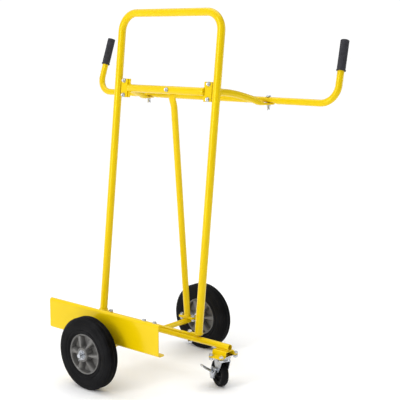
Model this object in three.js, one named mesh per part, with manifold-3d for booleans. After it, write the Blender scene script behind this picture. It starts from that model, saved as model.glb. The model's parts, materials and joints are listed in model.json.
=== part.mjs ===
// A side-loading panel trolley: a tubular T-shaped chassis on two large wheels and one braked
// swivel castor, with a leaning hoop frame, a rear strut and a wide handle bar behind the frame.
//
// Millimetres, +Z up. X runs along the main tube towards the castor, Y along the wheel axle
// towards the handle bar. The origin is on the ground, at the centre of the footprint.

import * as THREE from 'three';
import { mergeVertices } from 'three/addons/utils/BufferGeometryUtils.js';
import Module from 'manifold-3d';

const wasm = await Module();
wasm.setup();

// ---------------------------------------------------------------- driving dimensions

const GAP = 0.3;                    // clearance between pieces that rest on each other
const TUBE_SIDES = 12;
const BEND_STEPS = 6;

const WHEEL = { radius: 125, width: 50, rimRadius: 70, hubRadius: 24, hubWidth: 60, track: 596 };
const AXLE = { radius: 7.5, length: 688, pinInset: 7, pinHole: 2.3 };
const BEARING = { inner: 7.8, outer: 17.5, width: 10.8, pocket: 11 };
const WASHER = { inner: 8, outer: 15, thickness: 2.5 };

const CROSS_TUBE = { radius: 10, wall: 1.9, length: 535 };
const MAIN_TUBE = { radius: 11, wall: 2, start: -262, end: 376, height: 149.3 };
const DECK = { start: -258, end: 250, width: 40, thickness: 4.5, corner: 15 };
const FOOT_PLATE = { length: 84, width: 38, thickness: 4.2, corner: 14, centre: 220, boltX: 196 };
const SADDLE_PLATE = { length: 84, width: 36, thickness: 2.6, corner: 12, boltX: 26.5 };
const STRUT_SEAT = { length: 82, width: 36, thickness: 4, corner: 8, boltX: 27, y: 209 };

const GUARD = {
  length: 532, height: 109, flange: 34, lip: 11, thickness: 3, bend: 9, face: -236, bottom: 149,
};
const GUARD_SEAT = { length: 60, width: 28, wall: 3 };

const HOOP = { radius: 14, wall: 2, halfSpan: 236, height: 1104, bend: 66, leanDegrees: 6.5 };
const CROSSBAR = { radius: 14, wall: 2, station: 832.5, halfLength: 181.5 };
const BRACKET = {
  inner: 182, outer: 221.6, height: 76, thickness: 5, corner: 5, boltX: 203, boltSpacing: 53,
};
const END_PLATE_LAP = 8;

const STRUT = { radius: 12, wall: 2, topX: 18, overhang: 13, slope: -0.1103, tongue: 6.4 };
const HANDLE = {
  radius: 12, wall: 2, y: 315, height: 961, halfSpan: 573, bend: 60,
  rise: 208, leanIn: 0.06, leanBack: 0.304, boltX: 291, dent: 0.62, dentHalf: 38,
};
const GRIP = { radius: 15.5, length: 108, cap: 3, clearance: 0.3 };
const ARM = { radius: 12, wall: 1.9, tongue: 8, overhang: 15, splay: 14 };
const WING = { bore: 4.4, hub: 7.5, height: 9, thickness: 3, root: 5.5, turnDegrees: -62 };

const CASTOR = {
  x: 347, swivelDegrees: 156, trail: 26, wheelRadius: 48, wheelWidth: 26, rimRadius: 34,
  raceRadius: 25, forkHalf: 16, forkSheet: 2.5, plateLength: 58, plateWidth: 92, plateSheet: 2.5,
};
const SADDLE = { length: 58, width: 94, sheet: 3, flangeTop: 120, crownHalf: 21, baseHalf: 26 };
const CASTOR_BOLT = { dx: 22, dy: 38 };
const BRAKE = {
  pivotY: 23, pivotZ: 66, pinHole: 2.3, halfLength: 15,
  coverIn: 21, coverOut: 33, coverTop: 60, coverBottom: 19,
  sheet: 2, tongueLength: 52, tongueDegrees: 34, knuckle: 3.8,
};

const M8 = 8;                        // thread size of every bolt
const LONG_DRILL = 30;              // half length of a drill that goes right through a tube

// ---------------------------------------------------------------- places worked out from them

const lean = THREE.MathUtils.degToRad(HOOP.leanDegrees);
const axleHeight = WHEEL.radius;
const crossTubeTop = axleHeight + CROSS_TUBE.radius;
const deckBottom = MAIN_TUBE.height + MAIN_TUBE.radius + GAP;
const deckTop = deckBottom + DECK.thickness;
const footPlateTop = deckTop + GAP + FOOT_PLATE.thickness;
const strutSeatTop = crossTubeTop + GAP + STRUT_SEAT.thickness;
const strutFootTop = strutSeatTop + GAP + STRUT_SEAT.thickness;
const mainTubeBottom = MAIN_TUBE.height - MAIN_TUBE.radius;
const saddleBottom = SADDLE.flangeTop - SADDLE.sheet;
const castorPlateBottom = saddleBottom - GAP - CASTOR.plateSheet;

// A point on the leaning frame: x across it, station up along its legs, normal out of its back.
function onFrame(x, station, normal = 0) {
  return new THREE.Vector3(
    x,
    station * Math.sin(lean) + normal * Math.cos(lean),
    footPlateTop + station * Math.cos(lean) - normal * Math.sin(lean),
  );
}

// ---------------------------------------------------------------- materials

function finish(color, roughness, metalness) {
  return new THREE.MeshStandardMaterial({ color, roughness, metalness });
}

const yellowPaint = finish(0xf4cd0c, 0.35, 0.0);
const zinc = finish(0xc9ccd2, 0.3, 0.9);
const rubber = finish(0x1c1c20, 0.75, 0.0);
const rimGrey = finish(0x8f8b86, 0.4, 0.6);
const gripRubber = finish(0x2a2a30, 0.8, 0.0);
const bearingSteel = finish(0xa8aaae, 0.35, 0.85);

// ---------------------------------------------------------------- joining and cutting

function solidOf(geometry) {
  const bare = geometry.index ? geometry.clone() : geometry;
  bare.deleteAttribute('normal');
  bare.deleteAttribute('uv');
  const merged = mergeVertices(bare, 1e-4);
  return new wasm.Manifold(new wasm.Mesh({
    numProp: 3,
    vertProperties: new Float32Array(merged.attributes.position.array),
    triVerts: new Uint32Array(merged.index.array),
  }));
}

function geometryOf(solid) {
  const mesh = solid.getMesh();
  const geometry = new THREE.BufferGeometry();
  geometry.setAttribute('position', new THREE.BufferAttribute(mesh.vertProperties, 3));
  geometry.setIndex(new THREE.BufferAttribute(mesh.triVerts, 1));
  return geometry;
}

function join(...geometries) {
  return geometryOf(geometries.map(solidOf).reduce((sum, next) => sum.add(next)));
}

function cut(geometry, ...tools) {
  return geometryOf(tools.map(solidOf).reduce((rest, tool) => rest.subtract(tool), solidOf(geometry)));
}

// ---------------------------------------------------------------- routes and tubes

// A curve through stations that it visits at equal steps, however far apart they lie, so that
// a straight run costs one step and a bend gets several.
class StationRoute extends THREE.Curve {
  constructor(stations) {
    super();
    this.stations = stations;
  }

  getUtoTmapping(u) {
    return u;
  }

  getPoint(t) {
    return this.stations[Math.round(t * (this.stations.length - 1))].point.clone();
  }

  getTangent(t) {
    return this.stations[Math.round(t * (this.stations.length - 1))].tangent.clone();
  }
}

// Straight runs between corners, with a round bend at each inner corner.
function bentRoute(corners, bendRadius) {
  const stations = [{ point: corners[0], tangent: direction(corners[0], corners[1]) }];
  for (let i = 1; i < corners.length - 1; i += 1) {
    stations.push(...bend(corners[i - 1], corners[i], corners[i + 1], bendRadius));
  }
  const last = corners.length - 1;
  stations.push({ point: corners[last], tangent: direction(corners[last - 1], corners[last]) });
  return new StationRoute(stations);
}

function direction(from, to) {
  return to.clone().sub(from).normalize();
}

function bend(before, corner, after, radius) {
  const inward = direction(before, corner);
  const outward = direction(corner, after);
  const turn = inward.angleTo(outward);
  const setback = radius * Math.tan(turn / 2);
  const start = corner.clone().addScaledVector(inward, -setback);
  const axis = inward.clone().cross(outward).normalize();
  const toCentre = axis.clone().cross(inward).multiplyScalar(radius);
  const centre = start.clone().add(toCentre);
  const stations = [];
  for (let step = 0; step <= BEND_STEPS; step += 1) {
    const angle = turn * step / BEND_STEPS;
    stations.push({
      point: centre.clone().sub(toCentre.clone().applyAxisAngle(axis, angle)),
      tangent: inward.clone().applyAxisAngle(axis, angle),
    });
  }
  return stations;
}

// A smooth curve sampled at equal steps.
function smoothRoute(points, steps) {
  const curve = new THREE.CatmullRomCurve3(points);
  const stations = [];
  for (let step = 0; step <= steps; step += 1) {
    stations.push({
      point: curve.getPointAt(step / steps),
      tangent: curve.getTangentAt(step / steps),
    });
  }
  return new StationRoute(stations);
}

function ring(outer, inner) {
  const shape = new THREE.Shape();
  shape.absarc(0, 0, outer, 0, 2 * Math.PI, false);
  if (inner > 0) {
    const hole = new THREE.Path();
    hole.absarc(0, 0, inner, 0, 2 * Math.PI, true);
    shape.holes.push(hole);
  }
  return shape;
}

function tube(route, radius, wall) {
  return new THREE.ExtrudeGeometry(ring(radius, radius - wall), {
    extrudePath: route,
    steps: route.stations.length - 1,
    curveSegments: TUBE_SIDES / 2,
  });
}

function straightTube(from, to, radius, wall) {
  return tube(bentRoute([from, to], 0), radius, wall);
}

// Squeezes a tube towards a plane near one of its ends, as a press does, and spreads it sideways.
// Distances along the tube are measured back from its end.
function pressFlat(geometry, press) {
  const sideways = press.along.clone().cross(press.normal).normalize();
  const tilt = -press.along.dot(press.normal);
  const positions = geometry.attributes.position;
  const point = new THREE.Vector3();
  for (let i = 0; i < positions.count; i += 1) {
    point.fromBufferAttribute(positions, i);
    const offset = point.clone().sub(press.end);
    const back = -offset.dot(press.along);
    const round = THREE.MathUtils.smoothstep(back, press.flatLength, press.reach);
    const squeeze = THREE.MathUtils.lerp(press.thinness, 1, round);
    const spread = THREE.MathUtils.lerp(press.widening, 1, round);
    const axisOff = back * tilt;
    const off = offset.dot(press.normal);
    point.addScaledVector(press.normal, round * axisOff + squeeze * (off - axisOff) - off);
    point.addScaledVector(sideways, offset.dot(sideways) * (spread - 1));
    positions.setXYZ(i, point.x, point.y, point.z);
  }
  return geometry;
}

// ---------------------------------------------------------------- plates, rods and fasteners

// A cylinder from low to high along Z.
function rod(radius, low, high, sides = 16) {
  const geometry = new THREE.CylinderGeometry(radius, radius, high - low, sides);
  return geometry.rotateX(Math.PI / 2).translate(0, 0, (low + high) / 2);
}

function block(sizeX, sizeY, sizeZ, x, y, z) {
  return new THREE.BoxGeometry(sizeX, sizeY, sizeZ).translate(x, y, z);
}

// A plate with rounded corners, from z = 0 upwards, with holes given as [x, y, radius].
function plate(length, width, corner, thickness, holes = []) {
  const x = length / 2;
  const y = width / 2;
  const shape = new THREE.Shape();
  shape.moveTo(x, y - corner);
  shape.quadraticCurveTo(x, y, x - corner, y);
  shape.lineTo(-x + corner, y);
  shape.quadraticCurveTo(-x, y, -x, y - corner);
  shape.lineTo(-x, -y + corner);
  shape.quadraticCurveTo(-x, -y, -x + corner, -y);
  shape.lineTo(x - corner, -y);
  shape.quadraticCurveTo(x, -y, x, -y + corner);
  for (const [holeX, holeY, radius] of holes) {
    const hole = new THREE.Path();
    hole.absarc(holeX, holeY, radius, 0, 2 * Math.PI, true);
    shape.holes.push(hole);
  }
  return new THREE.ExtrudeGeometry(shape, { depth: thickness, bevelEnabled: false, curveSegments: 4 });
}

// A hexagon bolt with both washers and its nut. The clamped stack lies between z = 0, under the
// head, and z = -stack.
function bolt(size, stack, tail = 5) {
  const washer = 1.5;
  const nut = 0.8 * size;
  const foot = -stack - GAP;
  return join(
    rod(0.92 * size, GAP + washer, GAP + washer + 0.6 * size, 6),
    rod(size, GAP, GAP + washer + 0.1, 10),
    rod(size / 2, foot - washer - nut - tail, GAP + washer, 8),
    rod(size, foot - washer - 0.1, foot, 10),
    rod(0.92 * size, foot - washer - nut, foot - washer, 6),
  );
}

function clearance(size) {
  return size / 2 + 0.7;
}

// A drill along Z through everything between two heights.
function drill(size, x, y, low, high) {
  return rod(clearance(size), low, high, 8).translate(x, y, 0);
}

function lathe(profile, segments) {
  const points = profile.map(([radius, height]) => new THREE.Vector2(radius, height));
  points.push(points[0].clone());
  return new THREE.LatheGeometry(points, segments);
}

function ringBody(inner, outer, low, high, segments = 24) {
  return lathe([[inner, low], [outer, low], [outer, high], [inner, high]], segments);
}

// ---------------------------------------------------------------- scene helpers

const trolley = new THREE.Group();

function add(parent, name, geometry, material, position = [0, 0, 0]) {
  const mesh = new THREE.Mesh(geometry, material);
  mesh.name = name;
  mesh.position.set(...position);
  parent.add(mesh);
  return mesh;
}

const SIDES = [['left', -1], ['right', 1]];

// ---------------------------------------------------------------- chassis

function chassisBoltHoles(low, high) {
  const places = [SADDLE_PLATE.boltX, FOOT_PLATE.boltX].flatMap((x) => [-x, x]);
  return places.map((x) => drill(M8, x, 0, low, high));
}

function mainTube() {
  const from = new THREE.Vector3(MAIN_TUBE.start, 0, MAIN_TUBE.height);
  const to = new THREE.Vector3(MAIN_TUBE.end, 0, MAIN_TUBE.height);
  const body = straightTube(from, to, MAIN_TUBE.radius, MAIN_TUBE.wall);
  return cut(body, ...chassisBoltHoles(mainTubeBottom - 5, deckBottom + 5));
}

function deckStrip() {
  const middle = (DECK.start + DECK.end) / 2;
  const body = plate(DECK.end - DECK.start, DECK.width, DECK.corner, DECK.thickness);
  body.translate(middle, 0, deckBottom);
  return cut(body, ...chassisBoltHoles(deckBottom - 5, deckTop + 5));
}

function boltedPlate(size) {
  const holes = [[-size.boltX, 0, clearance(M8)], [size.boltX, 0, clearance(M8)]];
  return plate(size.length, size.width, size.corner, size.thickness, holes);
}

function crossTube() {
  const half = CROSS_TUBE.length / 2;
  const from = new THREE.Vector3(0, -half, axleHeight);
  const to = new THREE.Vector3(0, half, axleHeight);
  return straightTube(from, to, CROSS_TUBE.radius, CROSS_TUBE.wall);
}

function footPlate(side) {
  const offset = side * (FOOT_PLATE.boltX - FOOT_PLATE.centre);
  const holes = [[offset, 0, clearance(M8)]];
  return plate(FOOT_PLATE.length, FOOT_PLATE.width, FOOT_PLATE.corner, FOOT_PLATE.thickness, holes);
}

// The channel's section, open towards +Y, is drawn in Y and Z and extruded along X.
function wheelGuard() {
  const { bend, flange, height, lip, thickness: sheet } = GUARD;
  const shape = new THREE.Shape();
  shape.moveTo(flange, 0);
  shape.lineTo(bend, 0);
  shape.absarc(bend, bend, bend, 1.5 * Math.PI, Math.PI, true);
  shape.lineTo(0, height - bend);
  shape.absarc(bend, height - bend, bend, Math.PI, 0.5 * Math.PI, true);
  shape.lineTo(lip, height);
  shape.lineTo(lip, height - sheet);
  shape.lineTo(bend, height - sheet);
  shape.absarc(bend, height - bend, bend - sheet, 0.5 * Math.PI, Math.PI, false);
  shape.lineTo(sheet, bend);
  shape.absarc(bend, bend, bend - sheet, Math.PI, 1.5 * Math.PI, false);
  shape.lineTo(flange, sheet);
  const body = new THREE.ExtrudeGeometry(shape, {
    depth: GUARD.length, bevelEnabled: false, curveSegments: 4,
  });
  body.rotateX(Math.PI / 2).rotateZ(Math.PI / 2);
  return body.translate(-GUARD.length / 2, GUARD.face, GUARD.bottom);
}

// A short box section, open along X, that carries the guard on the cross tube.
function guardSeat() {
  const { length, width, wall } = GUARD_SEAT;
  const low = crossTubeTop + GAP;
  const height = GUARD.bottom - GAP - low;
  const middle = low + height / 2;
  const y = GUARD.face + GUARD.flange / 2 + 2;
  const inside = block(length + 2, width - 2 * wall, height - 2 * wall, 0, y, middle);
  return cut(block(length, width, height, 0, y, middle), inside);
}

function castorSaddle() {
  const { crownHalf, baseHalf, sheet, flangeTop } = SADDLE;
  const half = SADDLE.width / 2;
  const top = mainTubeBottom - GAP;
  const outline = [
    [-half, saddleBottom], [-baseHalf + sheet, saddleBottom], [-crownHalf + sheet, top - sheet],
    [crownHalf - sheet, top - sheet], [baseHalf - sheet, saddleBottom], [half, saddleBottom],
    [half, flangeTop], [baseHalf, flangeTop], [crownHalf, top],
    [-crownHalf, top], [-baseHalf, flangeTop], [-half, flangeTop],
  ];
  const shape = new THREE.Shape(outline.map(([y, z]) => new THREE.Vector2(y, z)));
  const body = new THREE.ExtrudeGeometry(shape, { depth: SADDLE.length, bevelEnabled: false });
  body.rotateX(Math.PI / 2).rotateZ(Math.PI / 2);
  body.translate(CASTOR.x - SADDLE.length / 2, 0, 0);
  return cut(body, ...castorBoltPlaces().map(([x, y]) => drill(M8, x, y, 110, 125)));
}

function castorBoltPlaces() {
  const { dx, dy } = CASTOR_BOLT;
  return [[-dx, -dy], [dx, -dy], [dx, dy], [-dx, dy]].map(([x, y]) => [CASTOR.x + x, y]);
}

function buildChassis() {
  add(trolley, 'main_tube', mainTube(), yellowPaint);
  add(trolley, 'deck_strip', deckStrip(), yellowPaint);
  add(trolley, 'cross_tube', crossTube(), yellowPaint);
  add(trolley, 'cross_saddle_plate', boltedPlate(SADDLE_PLATE), yellowPaint,
    [0, 0, crossTubeTop + GAP]);
  add(trolley, 'strut_seat_plate', boltedPlate(STRUT_SEAT), yellowPaint,
    [0, STRUT_SEAT.y, crossTubeTop + GAP]);
  add(trolley, 'wheel_guard', wheelGuard(), yellowPaint);
  add(trolley, 'guard_seat', guardSeat(), yellowPaint);
  add(trolley, 'castor_saddle', castorSaddle(), yellowPaint);
  for (const [side, sign] of SIDES) {
    add(trolley, `${side}_foot_plate`, footPlate(sign), yellowPaint,
      [sign * FOOT_PLATE.centre, 0, deckTop + GAP]);
    const legStack = footPlateTop - mainTubeBottom;
    add(trolley, `${side}_leg_bolt`, bolt(M8, legStack, 6), zinc,
      [sign * FOOT_PLATE.boltX, 0, footPlateTop]);
    const teeStack = deckTop - crossTubeTop - GAP;
    add(trolley, `${side}_tee_bolt`, bolt(M8, teeStack, 2), zinc,
      [sign * SADDLE_PLATE.boltX, 0, deckTop]);
    const strutStack = strutFootTop - crossTubeTop - GAP;
    add(trolley, `${side}_strut_bolt`, bolt(M8, strutStack, 2), zinc,
      [sign * STRUT_SEAT.boltX, STRUT_SEAT.y, strutFootTop]);
  }
  castorBoltPlaces().forEach(([x, y], index) => {
    const stack = SADDLE.flangeTop - castorPlateBottom;
    add(trolley, `castor_bolt_${index + 1}`, bolt(M8, stack, 2), zinc, [x, y, SADDLE.flangeTop]);
  });
}

// ---------------------------------------------------------------- leaning frame

const leaning = new THREE.Group();
leaning.position.set(0, 0, footPlateTop);
leaning.rotation.x = -lean;
trolley.add(leaning);

function hoop() {
  const { halfSpan, height, bend: radius } = HOOP;
  const buried = -8;
  const corners = [
    new THREE.Vector3(-halfSpan, 0, buried),
    new THREE.Vector3(-halfSpan, 0, height),
    new THREE.Vector3(halfSpan, 0, height),
    new THREE.Vector3(halfSpan, 0, buried),
  ];
  const ground = block(600, 120, 40, 0, 0, GAP - 20).rotateX(lean);
  return cut(tube(bentRoute(corners, radius), HOOP.radius, HOOP.wall), ground);
}

// Bracket plates stand in the frame's own plane: the leg's plate in front, the crossbar's behind.
function bracketPlate(sign, inner, back) {
  const { boltSpacing, corner, height, outer, thickness } = BRACKET;
  const middle = (inner + outer) / 2;
  const holeX = sign * (BRACKET.boltX - middle);
  const holes = [-1, 1].map((up) => [holeX, up * boltSpacing / 2, clearance(M8)]);
  const body = plate(outer - inner, height, corner, thickness, holes);
  return body.rotateX(Math.PI / 2).translate(sign * middle, back, CROSSBAR.station);
}

function crossbar() {
  const { halfLength, radius, station, wall } = CROSSBAR;
  const from = new THREE.Vector3(-halfLength, 0, station);
  const to = new THREE.Vector3(halfLength, 0, station);
  const back = BRACKET.thickness + GAP;
  const ends = SIDES.map(([, sign]) => bracketPlate(sign, BRACKET.inner - END_PLATE_LAP, back));
  const body = join(straightTube(from, to, radius, wall), ...ends);
  const hole = rod(clearance(M8), -LONG_DRILL, LONG_DRILL, 12).rotateX(Math.PI / 2);
  return cut(body, hole.translate(STRUT.topX, 0, station));
}

function buildFrame() {
  const { boltSpacing, boltX, thickness } = BRACKET;
  add(leaning, 'hoop_frame', hoop(), yellowPaint);
  add(leaning, 'crossbar', crossbar(), yellowPaint);
  const acrossStack = 2 * thickness + GAP;
  for (const [side, sign] of SIDES) {
    add(leaning, `${side}_leg_bracket`, bracketPlate(sign, BRACKET.inner, 0), yellowPaint);
    for (const [level, up] of [['lower', -1], ['upper', 1]]) {
      add(leaning, `${side}_${level}_bracket_bolt`,
        bolt(M8, acrossStack, 3).rotateX(Math.PI / 2), zinc,
        [sign * boltX, -thickness, CROSSBAR.station + up * boltSpacing / 2]);
    }
  }
  const barStack = 2 * CROSSBAR.radius + GAP + STRUT.tongue;
  add(leaning, 'crossbar_bolt', bolt(M8, barStack, 3).rotateX(Math.PI / 2), zinc,
    [STRUT.topX, -CROSSBAR.radius, CROSSBAR.station]);
}

// The strut rises from its foot plate to a tongue pressed flat against the crossbar's back. The
// foot plate has a drain hole under the tube.
function strut() {
  const { overhang, radius, topX, slope, tongue, wall } = STRUT;
  const low = strutFootTop - 2;
  const seat = CROSSBAR.radius + GAP + tongue / 2;
  const anchor = onFrame(topX, CROSSBAR.station, seat);
  const end = onFrame(topX, CROSSBAR.station + overhang, seat);
  const foot = new THREE.Vector3(0, STRUT_SEAT.y, low);
  const top = new THREE.Vector3(topX, STRUT_SEAT.y + slope * (end.z - low), end.z);
  const along = direction(foot, top);
  const normal = new THREE.Vector3(0, Math.cos(lean), -Math.sin(lean));
  const knots = [75, 62, 50, 38, 26].map((back) => top.clone().addScaledVector(along, -back));
  const body = tube(bentRoute([foot, ...knots, top], 0), radius, wall);
  pressFlat(body, {
    end, along, normal, flatLength: 26, reach: 75, thinness: tongue / 2 / radius, widening: 1.3,
  });
  const filling = block(2 * radius, tongue - 1, 2 * overhang + 2, 0, 0, 0).rotateX(-lean);
  filling.translate(...anchor);
  const footHoles = [-1, 1].map((sign) => [sign * STRUT_SEAT.boltX, 0, clearance(M8)]);
  const { corner, length, thickness, width } = STRUT_SEAT;
  const footPlateBody = plate(length, width, corner, thickness, [...footHoles, [0, 0, 3]]);
  footPlateBody.translate(0, STRUT_SEAT.y, strutSeatTop + GAP);
  const hole = rod(clearance(M8), -LONG_DRILL, LONG_DRILL, 12).rotateX(Math.PI / 2 - lean);
  return cut(join(body, filling, footPlateBody), hole.translate(...anchor));
}

// ---------------------------------------------------------------- handle bar

const dentBottom = HANDLE.height - HANDLE.radius * HANDLE.dent;
const tongueTop = dentBottom - GAP;
const tongueMiddle = tongueTop - ARM.tongue / 2;

function riserDirection(sign) {
  return new THREE.Vector3(-sign * HANDLE.leanIn, HANDLE.leanBack, 1).normalize();
}

function riserPoint(sign, rise) {
  const corner = new THREE.Vector3(sign * HANDLE.halfSpan, HANDLE.y, HANDLE.height);
  return corner.addScaledVector(riserDirection(sign), rise / riserDirection(sign).z);
}

// One tube, bent up at both ends, with its underside pressed in where the two arms hold it.
function handleBar() {
  const { boltX, dent, dentHalf, height, radius, rise, wall, y } = HANDLE;
  const knots = [];
  for (const sign of [-1, 1]) {
    for (const step of [-1, -0.5, 0.5, 1]) {
      knots.push(new THREE.Vector3(sign * boltX + step * dentHalf, y, height));
    }
  }
  const corners = [
    riserPoint(-1, rise), riserPoint(-1, 0), ...knots, riserPoint(1, 0), riserPoint(1, rise),
  ];
  const body = tube(bentRoute(corners, HANDLE.bend), radius, wall);
  const positions = body.attributes.position;
  for (let i = 0; i < positions.count; i += 1) {
    const fromBolt = Math.abs(Math.abs(positions.getX(i)) - boltX);
    const drop = positions.getZ(i) - height;
    const round = THREE.MathUtils.smoothstep(fromBolt, 0.5 * dentHalf, dentHalf);
    if (drop < 0) positions.setZ(i, height + drop * THREE.MathUtils.lerp(dent, 1, round));
  }
  const holes = SIDES.map(([, sign]) => {
    return drill(M8, sign * boltX, y, height - LONG_DRILL, height + LONG_DRILL);
  });
  return cut(body, ...holes);
}

// An arm leaves the back of a leg, swings outwards and down, and ends in an open pressed tongue.
function supportArm(sign) {
  const { overhang, radius, splay, tongue, wall } = ARM;
  const angle = THREE.MathUtils.degToRad(splay);
  const along = new THREE.Vector3(sign * Math.sin(angle), Math.cos(angle), 0);
  const root = onFrame(sign * HOOP.halfSpan, CROSSBAR.station);
  const end = new THREE.Vector3(sign * HANDLE.boltX, HANDLE.y, tongueMiddle)
    .addScaledVector(along, overhang);
  const back = (distance, up) => end.clone().addScaledVector(along, -distance).add(
    new THREE.Vector3(0, 0, up),
  );
  const points = [root, back(200, 45.5), back(150, 38), back(100, 23.5), back(50, 6.5), back(0, 0)];
  const body = tube(smoothRoute(points, 13), radius, wall);
  pressFlat(body, {
    end, along, normal: new THREE.Vector3(0, 0, 1), flatLength: 34, reach: 85,
    thinness: tongue / 2 / radius, widening: 1.25,
  });
  const leg = rod(HOOP.radius + GAP, -60, 60, 24).rotateX(-lean).translate(...root);
  const low = tongueMiddle - LONG_DRILL;
  return cut(body, leg, drill(M8, sign * HANDLE.boltX, HANDLE.y, low, low + 2 * LONG_DRILL));
}

function wingBolt() {
  const { radius, height } = HANDLE;
  const top = height + radius + GAP;
  const headProfile = [[0, top], [9, top], [8, top + 2.6], [4.5, top + 4.6], [0, top + 5.2]];
  const head = lathe(headProfile, 20).rotateX(Math.PI / 2);
  return join(head, rod(M8 / 2, tongueTop - ARM.tongue - 16, top + 1, 12));
}

// A hub with two wings that hang below it.
function wingNut() {
  const hub = ringBody(WING.bore, WING.hub, -WING.height, 0, 12).rotateX(Math.PI / 2);
  const wings = SIDES.map(([, sign]) => {
    const shape = new THREE.Shape();
    shape.moveTo(0, -7.5);
    shape.lineTo(5, -8.5);
    shape.absarc(11, -17, 5.5, 1.2 * Math.PI, 2.4 * Math.PI, false);
    shape.lineTo(5, -1);
    shape.lineTo(0, -1);
    const wing = new THREE.ExtrudeGeometry(shape, {
      depth: WING.thickness, bevelEnabled: false, curveSegments: 5,
    });
    wing.translate(WING.root, 0, -WING.thickness / 2).rotateX(Math.PI / 2);
    return sign > 0 ? wing : wing.rotateZ(Math.PI);
  });
  return join(hub, ...wings).rotateZ(THREE.MathUtils.degToRad(WING.turnDegrees));
}

function grip() {
  const { cap, length, radius } = GRIP;
  const bore = HANDLE.radius + GRIP.clearance;
  return lathe([
    [0, length - cap], [bore, length - cap], [bore, 0], [radius, 0], [radius, length - 3],
    [radius - 3, length], [0, length],
  ], 16);
}

function buildHandle() {
  const up = new THREE.Vector3(0, 1, 0);
  add(trolley, 'rear_strut', strut(), yellowPaint);
  add(trolley, 'handle_bar', handleBar(), yellowPaint);
  for (const [side, sign] of SIDES) {
    add(trolley, `${side}_support_arm`, supportArm(sign), yellowPaint);
    add(trolley, `${side}_wing_bolt`, wingBolt(), zinc, [sign * HANDLE.boltX, HANDLE.y, 0]);
    add(trolley, `${side}_wing_nut`, wingNut(), zinc,
      [sign * HANDLE.boltX, HANDLE.y, tongueTop - ARM.tongue - GAP]);
    const along = riserDirection(sign);
    const base = riserPoint(sign, HANDLE.rise);
    base.addScaledVector(along, GAP + GRIP.cap - GRIP.length);
    const mesh = add(trolley, `${side}_grip`, grip(), gripRubber, base.toArray());
    mesh.quaternion.setFromUnitVectors(up, along);
  }
}

// ---------------------------------------------------------------- large wheels

function tyre() {
  const { radius, rimRadius, width } = WHEEL;
  const half = width / 2;
  const seat = rimRadius + 0.2;
  const side = [
    [seat, 20], [80, half - 1], [108, half], [radius - 4, half - 6], [radius, half - 13],
  ];
  const lower = side.map(([r, y]) => [r, -y]);
  return lathe([...lower, ...side.reverse()], 44);
}

function rim() {
  const { hubRadius, hubWidth, rimRadius } = WHEEL;
  const hub = hubWidth / 2;
  const pocket = BEARING.outer + GAP;
  const shoulder = hub - BEARING.pocket;
  const barrel = 60;
  const edge = 21;
  const web = 3;
  const outer = rimRadius - GAP;
  const upper = [
    [outer, edge], [barrel, edge], [barrel, web], [hubRadius, web], [hubRadius, hub],
    [pocket, hub], [pocket, shoulder], [12, shoulder],
  ];
  const lower = upper.map(([r, y]) => [r, -y]).reverse();
  const body = lathe([...lower, ...upper], 24);
  const spokes = [];
  for (let index = 0; index < 6; index += 1) {
    const spoke = block(42, 30, 13, 42, 0, 0);
    spokes.push(spoke.rotateY(index * Math.PI / 3));
  }
  return join(body, ...spokes);
}

// A split pin through the axle: a ring above, two legs spread below.
function splitPin() {
  const eye = new THREE.TorusGeometry(3.6, 1.1, 5, 10).rotateY(Math.PI / 2).translate(0, 0, 13.5);
  const legs = SIDES.map(([, sign]) => {
    const leg = rod(1.3, -9, 0, 8).rotateX(sign * 0.5);
    return leg.translate(0, 0, -9.5);
  });
  return join(eye, rod(1.8, -11, 11, 8), ...legs);
}

function axle() {
  const { length, pinHole, pinInset, radius } = AXLE;
  const body = rod(radius, -length / 2, length / 2, 24).rotateX(Math.PI / 2);
  const holes = SIDES.map(([, sign]) => {
    return rod(pinHole, -20, 20, 10).translate(0, sign * (length / 2 - pinInset), 0);
  });
  return cut(body, ...holes).translate(0, 0, axleHeight);
}

function buildWheel(side, sign) {
  const centre = [0, sign * WHEEL.track / 2, axleHeight];
  const hub = WHEEL.hubWidth / 2;
  add(trolley, `${side}_tyre`, tyre(), rubber, centre);
  add(trolley, `${side}_rim`, rim(), rimGrey, centre);
  const { inner, outer, width } = BEARING;
  for (const [place, end] of [['inner', -sign], ['outer', sign]]) {
    const low = end > 0 ? hub - width : -hub;
    const bearing = ringBody(inner, outer, low, low + width, 16);
    add(trolley, `${side}_${place}_bearing`, bearing, bearingSteel, centre);
  }
  const halfWasher = WASHER.thickness / 2;
  const washer = ringBody(WASHER.inner, WASHER.outer, -halfWasher, halfWasher, 16);
  add(trolley, `${side}_washer`, washer, zinc,
    [0, centre[1] + sign * (hub + GAP + halfWasher), axleHeight]);
  add(trolley, `${side}_split_pin`, splitPin(), zinc,
    [0, sign * (AXLE.length / 2 - AXLE.pinInset), axleHeight]);
}

// ---------------------------------------------------------------- castor

const swivel = new THREE.Group();
swivel.position.set(CASTOR.x, 0, 0);
swivel.rotation.z = THREE.MathUtils.degToRad(CASTOR.swivelDegrees);
trolley.add(swivel);

const raceGap = 107.3;              // height of the gap between the fork's race and the plate's

function castorPlate() {
  const holes = castorBoltPlaces().map(([x, y]) => [x - CASTOR.x, y, clearance(M8)]);
  const sheet = plate(CASTOR.plateLength, CASTOR.plateWidth, 7, CASTOR.plateSheet, holes);
  sheet.translate(0, 0, castorPlateBottom);
  const cup = lathe([
    [0, raceGap + 2], [CASTOR.raceRadius - 3, raceGap + 0.2], [CASTOR.raceRadius, raceGap + 0.2],
    [CASTOR.raceRadius - 1.5, castorPlateBottom + 0.5], [0, castorPlateBottom + 0.5],
  ], 20).rotateX(Math.PI / 2);
  return cut(join(sheet, cup), rod(6, 100, 120, 16));
}

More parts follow.
